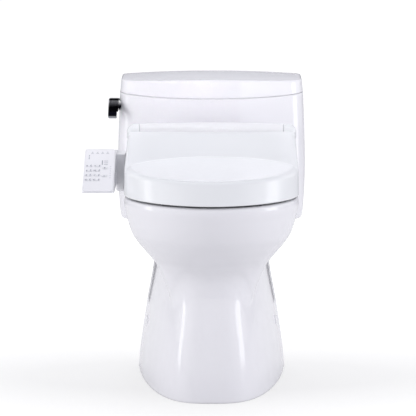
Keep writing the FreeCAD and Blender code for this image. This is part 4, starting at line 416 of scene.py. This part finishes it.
def bowl_radii(height):
    half = float(smooth_steps(BOWL_LEVELS, BOWL_HALF, height))
    reach = float(smooth_steps(BOWL_LEVELS, BOWL_REACH, height))
    rear = float(smooth_steps(BOWL_LEVELS, BOWL_REAR, height))
    between = BETWEEN_SHARE * half + (1 - BETWEEN_SHARE) * rear
    sides = [(between, BETWEEN_PLACE), (rear, REAR_PLACE), (rear, CHINA_BACK)]
    outline = egg(half, reach, WIDEST, sides, CHINA_BACK, PLAN_POWER, CHINA_CORNER)
    return spoke_radii(outline, CHINA_CENTRE, CHINA_SPOKES)


def china_radii(height):
    """Foot and bowl run softly into each other in front, and meet in a crease at the sides."""
    aside = ease(*CREASE_TURNS, np.abs(turns(CHINA_SPOKES)))
    blend = FRONT_BLEND - (FRONT_BLEND - SIDE_BLEND) * aside
    return soft_max(foot_radii(height), bowl_radii(height), blend)


def ellipse_points(centre, half, length, height):
    turn = turns(CHINA_SPOKES)
    return list(zip(half * np.sin(turn), centre - length * np.cos(turn), np.full(CHINA_SPOKES, height)))


def build_china():
    """Up the hollow's inside, then up the outside from the floor, over the rim and into the mouth."""
    rings = []
    for height in HOLLOW_LEVELS:
        rings.append(spoke_points(foot_radii(height) - CHINA_WALL, CHINA_CENTRE, height))
    for height in FOOT_EDGE_LEVELS + list(np.linspace(LOWEST_ROW, RIM - RIM_ROUND, CHINA_ROWS)):
        inset = FOOT_EDGE * max(0.0, 1 - height / FOOT_EDGE_LEVELS[-1]) ** 2
        rings.append(spoke_points(china_radii(height) - inset, CHINA_CENTRE, height))
    top = china_radii(RIM - RIM_ROUND)
    for turn in quarter_turns(0.15, 7):
        height = RIM - RIM_ROUND + RIM_ROUND * math.sin(turn)
        rings.append(spoke_points(top - RIM_ROUND * (1 - math.cos(turn)), CHINA_CENTRE, height))
    for depth, grow in MOUTH_STEPS:
        rings.append(ellipse_points(MOUTH_CENTRE, MOUTH_HALF + grow, MOUTH_LENGTH + grow, RIM - depth))
    piece = skin("china_body", rings, "toilet", CHINA)
    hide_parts("china_bowl")


# Tank and its lid

TANK_SPOKES = 240
TANK_ROWS = 60
TANK_CENTRE = 195.0
TANK_WIDEST, TANK_STRAIGHT = 180.0, 230.0
TANK_POWER, TANK_CORNER = 2.6, 8.0
TANK_LEVELS = [331, 341, 361, 451, 529, 633]
TANK_HALF = [203, 205.5, 208, 211.5, 209.6, 205.4]
TANK_FRONT = [102, 98, 94, 90, 90, 90]
TANK_FOOT_DROP, TANK_FOOT_ROUND = 8.0, 5.0
TANK_SKIN_LOW = TANK_FLOOR - TANK_FOOT_DROP
SEAM, SEAM_ARCH, SEAM_GAP = 608.0, 9.5, 0.6
SEAM_BACK_RISE, SEAM_BACK_REACH = 7.0, 12.0
TANK_LID_HALF, TANK_LID_FRONT = 206.0, 88.0
TANK_LID_EDGE, TANK_LID_LEAN, TANK_LID_INSET = 4.5, 2.2, 7.0
TANK_LID_CROWN, TANK_LID_APEX = 2800.0, TANK_BACK - 10

# Insets from the tank's outline, each with its depth under the seam
TANK_MOUTH_STEPS = ((1, 0), (10, 0), (11, 1.2), (11, 40), (12, 150), (16, 240))

# Insets from the lid's outline, each with its rise over the lid's lower edge
TANK_LID_UNDER = ((24, 26), (14, 0), (1.2, 0), (0.3, 0.6))


def tank_outline(half, front):
    """Half plan of the tank, from a bowed front to a straight back."""
    sides = [(half, TANK_STRAIGHT), (half, TANK_BACK)]
    return egg(half, -front, TANK_WIDEST, sides, TANK_BACK, TANK_POWER, TANK_CORNER)


def seam_height(across, along):
    """Arched seam between tank and lid, level along the back."""
    if along > TANK_BACK - SEAM_BACK_REACH:
        return SEAM + SEAM_BACK_RISE
    return SEAM + SEAM_ARCH * (across / max(TANK_HALF)) ** 2


def tank_radii(height):
    half = float(smooth_steps(TANK_LEVELS, TANK_HALF, height))
    front = float(smooth_steps(TANK_LEVELS, TANK_FRONT, height))
    return spoke_radii(tank_outline(half, front), TANK_CENTRE, TANK_SPOKES)


def tank_ring(radii, height_at):
    """Ring round the tank's centre, with its height worked out at each of its places."""
    return [(x, y, height_at(x, y)) for x, y, z in spoke_points(radii, TANK_CENTRE, 0)]


def build_tank():
    rings = []
    for turn in quarter_turns(0, 7):
        height = TANK_SKIN_LOW + TANK_FOOT_ROUND * (1 - math.cos(turn))
        inset = TANK_FOOT_ROUND * (1 - math.sin(turn))
        rings.append(spoke_points(tank_radii(height) - inset, TANK_CENTRE, height))
    bottom = TANK_SKIN_LOW + TANK_FOOT_ROUND
    for share in np.linspace(0.02, 1, TANK_ROWS):
        radii = tank_radii(bottom + share * (SEAM - bottom))
        rings.append(tank_ring(radii, lambda x, y: bottom + share * (seam_height(x, y) - bottom)))
    mouth = tank_radii(SEAM)
    for inset, depth in TANK_MOUTH_STEPS:
        rings.append(tank_ring(mouth - inset, lambda x, y: seam_height(x, y) - depth))
    piece = skin("tank_body", rings, "toilet", CHINA, first_cap=True, last_cap=True)
    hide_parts("china_tank")


def tank_lid_top(x, y):
    """Slightly domed top, highest near the wall."""
    return TOP - (x ** 2 + (y - TANK_LID_APEX) ** 2) / (2 * TANK_LID_CROWN)


def tank_lid_side(x, y, share):
    """Height on the lid's side, a share of the way from its lower edge to its rounded one."""
    bottom = seam_height(x, y) + SEAM_GAP
    return bottom + share * (tank_lid_top(x, y) - TANK_LID_EDGE - bottom)


def build_tank_lid():
    outline = spoke_radii(tank_outline(TANK_LID_HALF, TANK_LID_FRONT), TANK_CENTRE, TANK_SPOKES)
    rings = []
    for inset, rise in TANK_LID_UNDER:
        rings.append(tank_ring(outline - inset, lambda x, y: seam_height(x, y) + SEAM_GAP + rise))
    for share in np.linspace(0.06, 1, 12):
        radii = outline - TANK_LID_LEAN * share
        rings.append(tank_ring(radii, lambda x, y: tank_lid_side(x, y, share)))
    for turn in quarter_turns(0.12, 7):
        radii = outline - TANK_LID_LEAN - TANK_LID_EDGE * (1 - math.cos(turn))
        drop = TANK_LID_EDGE * (1 - math.sin(turn))
        rings.append(tank_ring(radii, lambda x, y: tank_lid_top(x, y) - drop))
    for share in np.linspace(0.93, 0.02, 16):
        rings.append(tank_ring((outline - TANK_LID_INSET) * share, tank_lid_top))
    piece = skin("tank_lid_china", rings, "tank_lid", CHINA, first_cap=True, last_cap=True)
    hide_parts("tank_lid")


# Seat lid: a flat oval top, a rising back and a rounded skirt

LID_SPOKES = 360
LID_CENTRE = -215.0
LID_FRONT_PLACE, LID_FRONT_HEIGHT = -407.0, 480.0
LID_LEAN, LID_LEAN_HEIGHT = 14.0, 49.0
LID_MARGIN, LID_STRAIGHT, LID_REAR, LID_CORNER = 0.3, -100.0, -1.5, 1.5
LID_WALL = 3.0
FLAT_SLOPE = math.tan(math.radians(3.53))
OVAL_CENTRE, OVAL_HALF, OVAL_LENGTH = -291.0, 191.0, 199.0
RISE_PLACE, RISE_HEIGHT = -2.0, 544.5
FOLD = 7.0
ROLL_IN, ROLL_DOWN, BACK_ROLL = (8, 15), (9, 11), 0.8
ROLL_TURNS = math.radians(35), math.radians(75)
ROLL_PLACES = -9, -1
SETTLING_ROUNDS = 3

# Insets from the lid's outline, each with its rise over the lower edge
HEM_STEPS = ((1.6, 0.2), (0.7, 0.4), (0.2, 1.2))
HEM_HEIGHT = HEM_STEPS[-1][1]


def lid_top(x, y):
    """Height of the lid's outer surface before its edge is rounded."""
    flat = LID_FRONT_HEIGHT + (y - LID_FRONT_PLACE) * FLAT_SLOPE
    edge = OVAL_CENTRE + OVAL_LENGTH * math.sqrt(max(0.0, 1 - (x / OVAL_HALF) ** 2))
    edge_height = LID_FRONT_HEIGHT + (edge - LID_FRONT_PLACE) * FLAT_SLOPE
    slope = (RISE_HEIGHT - edge_height) / (RISE_PLACE - edge) - FLAT_SLOPE
    past = y - edge
    if past < -FOLD:
        return flat
    if past < FOLD:
        return flat + slope * (past + FOLD) ** 2 / (4 * FOLD)
    return flat + slope * past


def lid_outline(risen):
    """Plan of the lid at its lower edge, and drawn in for what it has risen."""
    half, reach = LID_HALF - LID_MARGIN - risen, LID_REACH - LID_MARGIN - LID_LEAN * risen
    sides = [(half, LID_STRAIGHT), (half, LID_REAR)]
    return egg(half, reach, WIDEST, sides, LID_REAR, PLAN_POWER, LID_CORNER)


def spoke_y(radii):
    return LID_CENTRE - radii * np.cos(turns(len(radii)))


def lid_roll(near, front, side):
    """Size of the rounded edge round the lid, from its front over its sides to its sharp back."""
    at_side = ease(*ROLL_TURNS, np.abs(turns(LID_SPOKES)))
    at_back = ease(*ROLL_PLACES, spoke_y(near))
    return (front + (side - front) * at_side) * (1 - at_back) + BACK_ROLL * at_back


def lid_ring(near, lean, inset, drop):
    """Radii and heights of a ring inside the leaning skirt, a drop under the top surface."""
    radii = near - inset
    for again in range(SETTLING_ROUNDS):
        heights = np.array([lid_top(x, y) for x, y, z in spoke_points(radii, LID_CENTRE, 0)]) - drop
        radii = near - inset - lean * np.clip((heights - LID_LOW) / LID_LEAN_HEIGHT, 0, None)
    return radii, heights


def lid_rings(near):
    """Rings up the skirt, round the edge and over the top, and how many of them are the skirt's."""
    lean = near - spoke_radii(lid_outline(1), LID_CENTRE, LID_SPOKES)
    roll_in, roll_down = lid_roll(near, *ROLL_IN), lid_roll(near, *ROLL_DOWN)
    rings = [spoke_points(near - inset, LID_CENTRE, LID_LOW + rise) for inset, rise in HEM_STEPS]
    edge_radii, edge_heights = lid_ring(near, lean, 0, roll_down)
    hem = LID_LOW + HEM_HEIGHT
    for share in np.linspace(0.06, 1, 14):
        radii, heights = near + share * (edge_radii - near), hem + share * (edge_heights - hem)
        rings.append(spoke_points(radii, LID_CENTRE, heights))
    skirt_rings = len(rings)
    for turn in quarter_turns(0.08, 14):
        inset, drop = roll_in * (1 - math.cos(turn)), roll_down * (1 - math.sin(turn))
        radii, heights = lid_ring(near, lean, inset, drop)
        rings.append(spoke_points(radii, LID_CENTRE, heights))
    for share in np.linspace(0.99, 0.01, 110):
        flat = spoke_points((edge_radii - roll_in) * share, LID_CENTRE, 0)
        rings.append([(x, y, lid_top(x, y)) for x, y, z in flat])
    return rings, skirt_rings


def build_lid():
    near = spoke_radii(lid_outline(0), LID_CENTRE, LID_SPOKES)
    rings, skirt_rings = lid_rings(near)
    rear = spoke_y(near) > LID_REAR - 1

    def behind(level, index, following):
        """The lid has no skirt across its back, where the seat stands when both are up."""
        return level < skirt_rings - 1 and rear[index] and rear[following]

    piece = skin("lid_cover", rings, "lid", SEAT, last_cap=True, left_open=behind)
    thick = piece.modifiers.new("wall", "SOLIDIFY")
    thick.thickness = LID_WALL * MM
    thick.offset = -1
    ears = build_ears()
    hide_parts("lid_shell")
    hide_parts("lid_shell")


EAR_START, EAR_END = 158.8, 186.7
EAR_ROUND, EAR_CHAMFER = 17.0, 0.6
EAR_HUB, EAR_TIP, EAR_AXIS = 16.0, 8.0, 0.02
BARREL_PLACE, BARREL_HEIGHT, BARREL_RADIUS, BARREL_CROWN = 20.0, 537.0, 25.5, 4162.0
EAR_STEPS = 64


def barrel_radius(across):
    return BARREL_RADIUS - BARREL_CROWN + math.sqrt(BARREL_CROWN ** 2 - across ** 2)


def ear_profile():
    """Places across and radii of an ear, from the middle of its inner face to its rounded tip."""
    wide, straight_end = barrel_radius(EAR_START), EAR_END - EAR_ROUND
    narrow = barrel_radius(straight_end)
    profile = [(EAR_START, EAR_AXIS), (EAR_START, EAR_HUB), (EAR_START, wide - EAR_CHAMFER),
               (EAR_START + EAR_CHAMFER, wide)]
    profile += [(x, barrel_radius(x)) for x in np.linspace(EAR_START + 3, straight_end, 8)]
    for turn in quarter_turns(0.1, 9):
        across = straight_end + EAR_ROUND * math.sin(turn)
        profile.append((across, narrow - EAR_ROUND * (1 - math.cos(turn))))
    return profile + [(EAR_END, EAR_TIP), (EAR_END, EAR_AXIS)]


def build_ears():
    """Rounded ends of the lid that lengthen the hinge barrel at both sides."""
    vertices, faces = [], []
    profile = ear_profile()
    for side in (-1, 1):
        first = len(vertices)
        for across, radius in profile:
            for step in range(EAR_STEPS):
                angle = 2 * math.pi * step / EAR_STEPS
                vertices.append((side * across, BARREL_PLACE + radius * math.sin(angle),
                                 BARREL_HEIGHT + radius * math.cos(angle)))
        for level in range(len(profile) - 1):
            for step in range(EAR_STEPS):
                following = (step + 1) % EAR_STEPS
                here, above = first + level * EAR_STEPS, first + (level + 1) * EAR_STEPS
                corners = (here + step, above + step, above + following, here + following)
                faces.append(corners if side > 0 else tuple(reversed(corners)))
    return mesh_piece("lid_ears", vertices, faces, "lid", SEAT)


# Marks printed on the control panel, in millimetres across and along it

PANEL_SLOPE = math.radians(22.5)
PANEL_BASE = Vector((-242.5, -230, 439.5))
PRINT_LIFT, KEY_LIFT = 0.06, 0.96
KEY_ROWS = [50, 70.5, 91, 111.5]
BAR_END_STEPS, RING_STEPS, DROP_STEPS = 6, 18, 12


def on_panel(across, along, lift):
    return PANEL_BASE + Vector((across, along * math.cos(PANEL_SLOPE) - lift * math.sin(PANEL_SLOPE),
                                along * math.sin(PANEL_SLOPE) + lift * math.cos(PANEL_SLOPE)))


class Marks:
    """Flat marks gathered into one mesh on the panel's face."""

    def __init__(self):
        self.vertices, self.faces = [], []

    def loop(self, points, lift):
        first = len(self.vertices)
        self.vertices += [on_panel(x, y, lift) for x, y in points]
        self.faces.append(tuple(first + index for index in range(len(points))))

    def bar(self, x, y, wide, tall, lift=KEY_LIFT, turn=0.0):
        """Bar with rounded ends, centred at x and y; as wide as tall, it is a dot."""
        radius, run = min(wide, tall) / 2, abs(wide - tall) / 2
        along = turn + (math.pi / 2 if tall > wide else 0)
        points = []
        for towards in (along, along + math.pi):
            end_x, end_y = x + run * math.cos(towards), y + run * math.sin(towards)
            for step in range(BAR_END_STEPS + 1):
                angle = towards - math.pi / 2 + math.pi * step / BAR_END_STEPS
                points.append((end_x + radius * math.cos(angle), end_y + radius * math.sin(angle)))
        self.loop(points, lift)

    def ring(self, x, y, radius, width, start=0.0, sweep=2 * math.pi):
        """Ring of a given width, open where its sweep is less than a full turn."""
        first = len(self.vertices)
        for step in range(RING_STEPS + 1):
            angle = start + sweep * step / RING_STEPS
            for reach in (radius, radius - width):
                place = on_panel(x + reach * math.cos(angle), y + reach * math.sin(angle), KEY_LIFT)
                self.vertices.append(place)
        for step in range(RING_STEPS):
            near = first + 2 * step
            self.faces.append((near, near + 2, near + 3, near + 1))

    def drop(self, x, y, size):
        """Water drop, point up."""
        belly, sink = 0.55 * size, 0.2 * size
        points = [(x, y + size)]
        for step in range(DROP_STEPS + 1):
            angle = math.radians(25) - math.radians(230) * step / DROP_STEPS
            points.append((x + belly * math.cos(angle), y - sink + belly * math.sin(angle)))
        self.loop(list(reversed(points)), KEY_LIFT)

    def spray(self, x, y, size):
        """Three jets that spread upwards from a short base."""
        reach, sink = 0.75 * size, 0.3 * size
        for turn in (-0.5, 0, 0.5):
            jet_x, jet_y = x + reach * math.sin(turn), y + reach * math.cos(turn) - sink
            self.bar(jet_x, jet_y, 0.8, size, turn=-turn)
        self.bar(x, y - size, 1.6 * size, 0.9)


def print_keys(marks):
    """Signs on the keys: dot, drop, plus and ring, then spray, lines, slash and open ring, then strokes."""
    icon, tick, label, note = -26.5, -18.4, -9, 0.3
    first, second, third, fourth = KEY_ROWS
    marks.bar(icon, fourth, 4.2, 4.2)
    marks.drop(icon, third, 3.0)
    for turn in (0, math.pi / 2):
        marks.bar(icon, second, 5.4, 1.6, turn=turn)
    marks.ring(icon, first, 3.0, 1.3)
    marks.spray(label, fourth, 2.8)
    for shift in (-2, 0, 2):
        marks.bar(label, third + shift, 6.4, 1.1)
    marks.bar(label, second, 5.6, 1.6, turn=0.7)
    marks.ring(label, first, 3.0, 1.3, start=0.4, sweep=5.2)
    for row in KEY_ROWS:
        marks.bar(tick, row + 1.5, 1.8, 6.5, turn=-0.3)
        marks.bar(note, row, 1.8, 8.0, turn=-0.2)
        marks.bar(tick + 1.5, row - 3.2, 3.6, 1.4)


def print_film(marks):
    """Minus and plus on the two wide keys, then scales and short bars on the film round the keys."""
    side, minus, plus = 12, 68, 103
    for place in (minus, plus):
        marks.bar(side, place, 5.2, 1.5)
        marks.bar(side, place - 4.6, 4.0, 1.2)
    marks.bar(side, plus, 1.5, 5.2)
    for step in range(3):
        marks.bar(side + 2, 118 + 8 * step, 9.0, 2.0, PRINT_LIFT)
    marks.bar(side - 6, 127, 2.0, 20.0, PRINT_LIFT)
    for step in range(6):
        marks.bar(24.5, 60 + 10 * step, 3.0, 1.2, PRINT_LIFT)
    for place in (159, 152, 145):
        marks.bar(-23, place, 2.2, 4.2, PRINT_LIFT)
    for place in (-16.5, -5.5, 5.5, 16.5):
        marks.bar(place, 168.5, 6.5, 1.6, PRINT_LIFT)


def build_print():
    """Generic signs without words."""
    marks = Marks()
    print_keys(marks)
    print_film(marks)
    piece = mesh_piece("panel_print", marks.vertices, marks.faces, "bidet_unit", PRINT, smooth=False)


# Control arm

ARM_ROUND, ROOT_ROUND = 3.0, 5.0
ROOT_ACROSS, ROOT_ALONG, ROOT_HEIGHTS = (-209.5, -190.2), (-30.3, 4), (415, 496.8)


def build_arm_root():
    """The arm's root hangs lower beside the bowl than the solid under it."""
    vertices = [(x, y, z) for z in ROOT_HEIGHTS for y in ROOT_ALONG for x in ROOT_ACROSS]
    faces = [(0, 2, 3, 1), (4, 5, 7, 6), (0, 1, 5, 4), (1, 3, 7, 5), (3, 2, 6, 7), (2, 0, 4, 6)]
    piece = mesh_piece("arm_root_cover", vertices, faces, "bidet_unit", UNIT)
    round_edges(piece, ROOT_ROUND, 5)


# Stage, light and camera, in metres

FLOOR_HALF, FLOOR_DROP = 40.0, 0.0005
FLOOR_COLOUR, FLOOR_SEEN_COLOUR = (0.70, 0.70, 0.70, 1), (0.30, 0.30, 0.30, 1)
# The floor's glow is weakest near the object and, being stretched along the depth, stays weak longest at its
# sides: painted shade round the foot, on top of the real shadows
GLOW_STRETCH = (1, 2.2, 0)
GLOW_RANGE = (("From Min", 0.4), ("From Max", 1.6), ("To Min", 0.61), ("To Max", 0.85))
WORLD_COLOUR, WORLD_STRENGTH = (0.93, 0.93, 1.0, 1), 0.72
OBJECT_MIDDLE, TANK_LID_MIDDLE = (0, -0.1, 0.25), (-0.06, 0.1, 0.71)
WARM, COOL = (1.0, 0.995, 0.98), (0.99, 0.985, 1.0)
STRIP_GLOW = 2.0
PHOTO_SIZE = 416
FOCAL_LENGTH, SIDE_SHIFT = 2925, -3.5
CAMERA_PLACE, CAMERA_PITCH = (0, -6.41, 1.198), 7.32
SENSOR_WIDTH = 36


def floor_material():
    """White that takes the shadow; its glow, stronger far out and weaker near the object as painted shade
    round its foot, only reaches the camera.
    """
    material = bpy.data.materials.new("floor_white")
    material.use_nodes = True
    tree = material.node_tree
    node, link = tree.nodes.new, tree.links.new
    shader, result = tree.nodes["Principled BSDF"], tree.nodes["Material Output"]
    shader.inputs["Base Color"].default_value = FLOOR_COLOUR
    shader.inputs["Roughness"].default_value = 0.9
    shader.inputs["Specular IOR Level"].default_value = 0.0
    dim, glow = node("ShaderNodeBsdfDiffuse"), node("ShaderNodeEmission")
    dim.inputs["Color"].default_value = FLOOR_SEEN_COLOUR
    place, stretch = node("ShaderNodeTexCoord"), node("ShaderNodeVectorMath")
    reach, far = node("ShaderNodeVectorMath"), node("ShaderNodeMapRange")
    stretch.operation, reach.operation = "MULTIPLY", "LENGTH"
    stretch.inputs[1].default_value = GLOW_STRETCH
    for title, value in GLOW_RANGE:
        far.inputs[title].default_value = value
    both, seen = node("ShaderNodeAddShader"), node("ShaderNodeMixShader")
    path = node("ShaderNodeLightPath")
    link(place.outputs["Object"], stretch.inputs[0])
    link(stretch.outputs["Vector"], reach.inputs[0])
    link(reach.outputs["Value"], far.inputs["Value"])
    link(far.outputs["Result"], glow.inputs["Strength"])
    link(dim.outputs[0], both.inputs[0])
    link(glow.outputs[0], both.inputs[1])
    link(path.outputs["Is Camera Ray"], seen.inputs["Fac"])
    link(shader.outputs[0], seen.inputs[1])
    link(both.outputs[0], seen.inputs[2])
    link(seen.outputs[0], result.inputs["Surface"])
    return material


def build_stage():
    """White floor just under the object."""
    size = FLOOR_HALF
    corners = [(-size, -size, 0), (size, -size, 0), (size, size, 0), (-size, size, 0)]
    floor = bpy.data.meshes.new("floor")
    floor.from_pydata(corners, [], [(0, 1, 2, 3)])
    item = add_object("floor", floor, None, floor_material(), False)
    item.location.z = -FLOOR_DROP


def area_light(name, place, target, size, power, colour=(1, 1, 1)):
    """Rectangular light that faces its target and is seen neither by the camera nor in reflections."""
    light = bpy.data.lights.new(name, "AREA")
    light.shape = "RECTANGLE"
    light.size, light.size_y = size
    light.energy = power
    light.color = colour
    item = bpy.data.objects.new(name, light)
    bpy.context.scene.collection.objects.link(item)
    item.location = place
    item.rotation_euler = (Vector(target) - Vector(place)).to_track_quat("-Z", "Y").to_euler()
    item.visible_camera = item.visible_glossy = False
    return item


def build_world():
    """Soft light from all round, plain white where the camera or a reflection looks at it."""
    world = bpy.data.worlds.new("studio")
    bpy.context.scene.world = world
    world.use_nodes = True
    tree = world.node_tree
    node, link = tree.nodes.new, tree.links.new
    background, path = tree.nodes["Background"], node("ShaderNodeLightPath")
    seen, shiny = node("ShaderNodeMath"), node("ShaderNodeMath")
    seen.operation = shiny.operation = "MAXIMUM"
    colour, strength = node("ShaderNodeMix"), node("ShaderNodeMapRange")
    colour.data_type = "RGBA"
    colour.inputs["A"].default_value = WORLD_COLOUR
    colour.inputs["B"].default_value = (1, 1, 1, 1)
    strength.inputs["To Min"].default_value = WORLD_STRENGTH
    strength.inputs["To Max"].default_value = 1.0
    link(seen.outputs[0], colour.inputs["Factor"])
    link(colour.outputs["Result"], background.inputs["Color"])
    link(path.outputs["Is Glossy Ray"], shiny.inputs[0])
    link(path.outputs["Is Transmission Ray"], shiny.inputs[1])
    link(path.outputs["Is Camera Ray"], seen.inputs[0])
    link(shiny.outputs[0], seen.inputs[1])
    link(seen.outputs[0], strength.inputs["Value"])
    link(strength.outputs["Result"], background.inputs["Strength"])


def build_light():
    """A broad light at each side and one high behind, with a narrow one on the tank's upper front."""
    build_world()
    area_light("left_light", (-2.9, -1.4, 0.8), OBJECT_MIDDLE, size=(2.2, 1.6), power=28, colour=WARM)
    area_light("right_light", (2.9, -1.3, 0.8), OBJECT_MIDDLE, size=(1.6, 1.6), power=25, colour=COOL)
    area_light("top_light", (0, 2.1, 3.3), (0, 0, 0.3), size=(3.4, 2.2), power=66)
    upper = area_light("tank_light", (-0.6, -3.2, 1.0), TANK_LID_MIDDLE, size=(0.8, 0.1), power=0.20)
    upper.data.spread = math.radians(10)


def reflected_sheet(name, colour, points, glow=0.0):
    """Sheet that is seen only in reflections, and shines where it is given a glow."""
    mesh = bpy.data.meshes.new(name)
    mesh.from_pydata(points, [], [(0, 1, 2, 3)])
    cloth = varied_material(name + "_cloth", colour, 0.9, scale=2)
    shader = cloth.node_tree.nodes["Principled BSDF"]
    shader.inputs["Emission Color"].default_value = (1, 1, 1, 1)
    shader.inputs["Emission Strength"].default_value = glow
    item = add_object(name, mesh, None, cloth, False)
    item.visible_camera = item.visible_shadow = item.visible_diffuse = False


def build_flag():
    """Grey cloths behind and over the object, and bright strips beside it."""
    side, front, back, height = 2.3, 0.5, 2.6, 2.6
    low_corners = [(-side, back, 0), (side, back, 0)]
    high_corners = [(side, back, height), (-side, back, height)]
    near_corners = [(side, front, height), (-side, front, height)]
    reflected_sheet("back_flag", (0.55, 0.55, 0.57), low_corners + high_corners)
    reflected_sheet("roof_flag", (0.10, 0.10, 0.11), high_corners[::-1] + near_corners)
    side, back, low_end, high_end = 0.36, 1.2, -0.1, 0.72
    low_corners = [(-side, back, low_end), (side, back, low_end)]
    high_corners = [(side, back, high_end), (-side, back, high_end)]
    reflected_sheet("low_flag", (0.16, 0.16, 0.17), low_corners + high_corners)
    back, low_end, high_end = 0.5, -0.1, 1.3
    for name, side, front in (("left_strip", -3, -0.1), ("right_strip", 3, -0.5)):
        low_corners = [(side, front, low_end), (side, back, low_end)]
        high_corners = [(side, back, high_end), (side, front, high_end)]
        reflected_sheet(name, (1, 1, 1), low_corners + high_corners, STRIP_GLOW)


def build_camera():
    """The photograph's view; lengths in its pixels are turned into shares of the sensor."""
    camera = bpy.data.cameras.new("camera")
    item = bpy.data.objects.new("camera", camera)
    bpy.context.scene.collection.objects.link(item)
    item.location = CAMERA_PLACE
    item.rotation_euler = (math.radians(90 - CAMERA_PITCH), 0, 0)
    camera.sensor_width = SENSOR_WIDTH
    camera.lens = FOCAL_LENGTH / PHOTO_SIZE * SENSOR_WIDTH
    camera.shift_x = SIDE_SHIFT / PHOTO_SIZE
    camera.clip_end = 60
    bpy.context.scene.camera = item


dress_nodes()
build_china()
build_tank()
build_tank_lid()
build_lid()
build_print()
round_edges(nodes["arm_housing"], ARM_ROUND, 3)
build_arm_root()
build_stage()
build_light()
build_flag()
build_camera()
bpy.context.scene.view_settings.view_transform = "Standard"
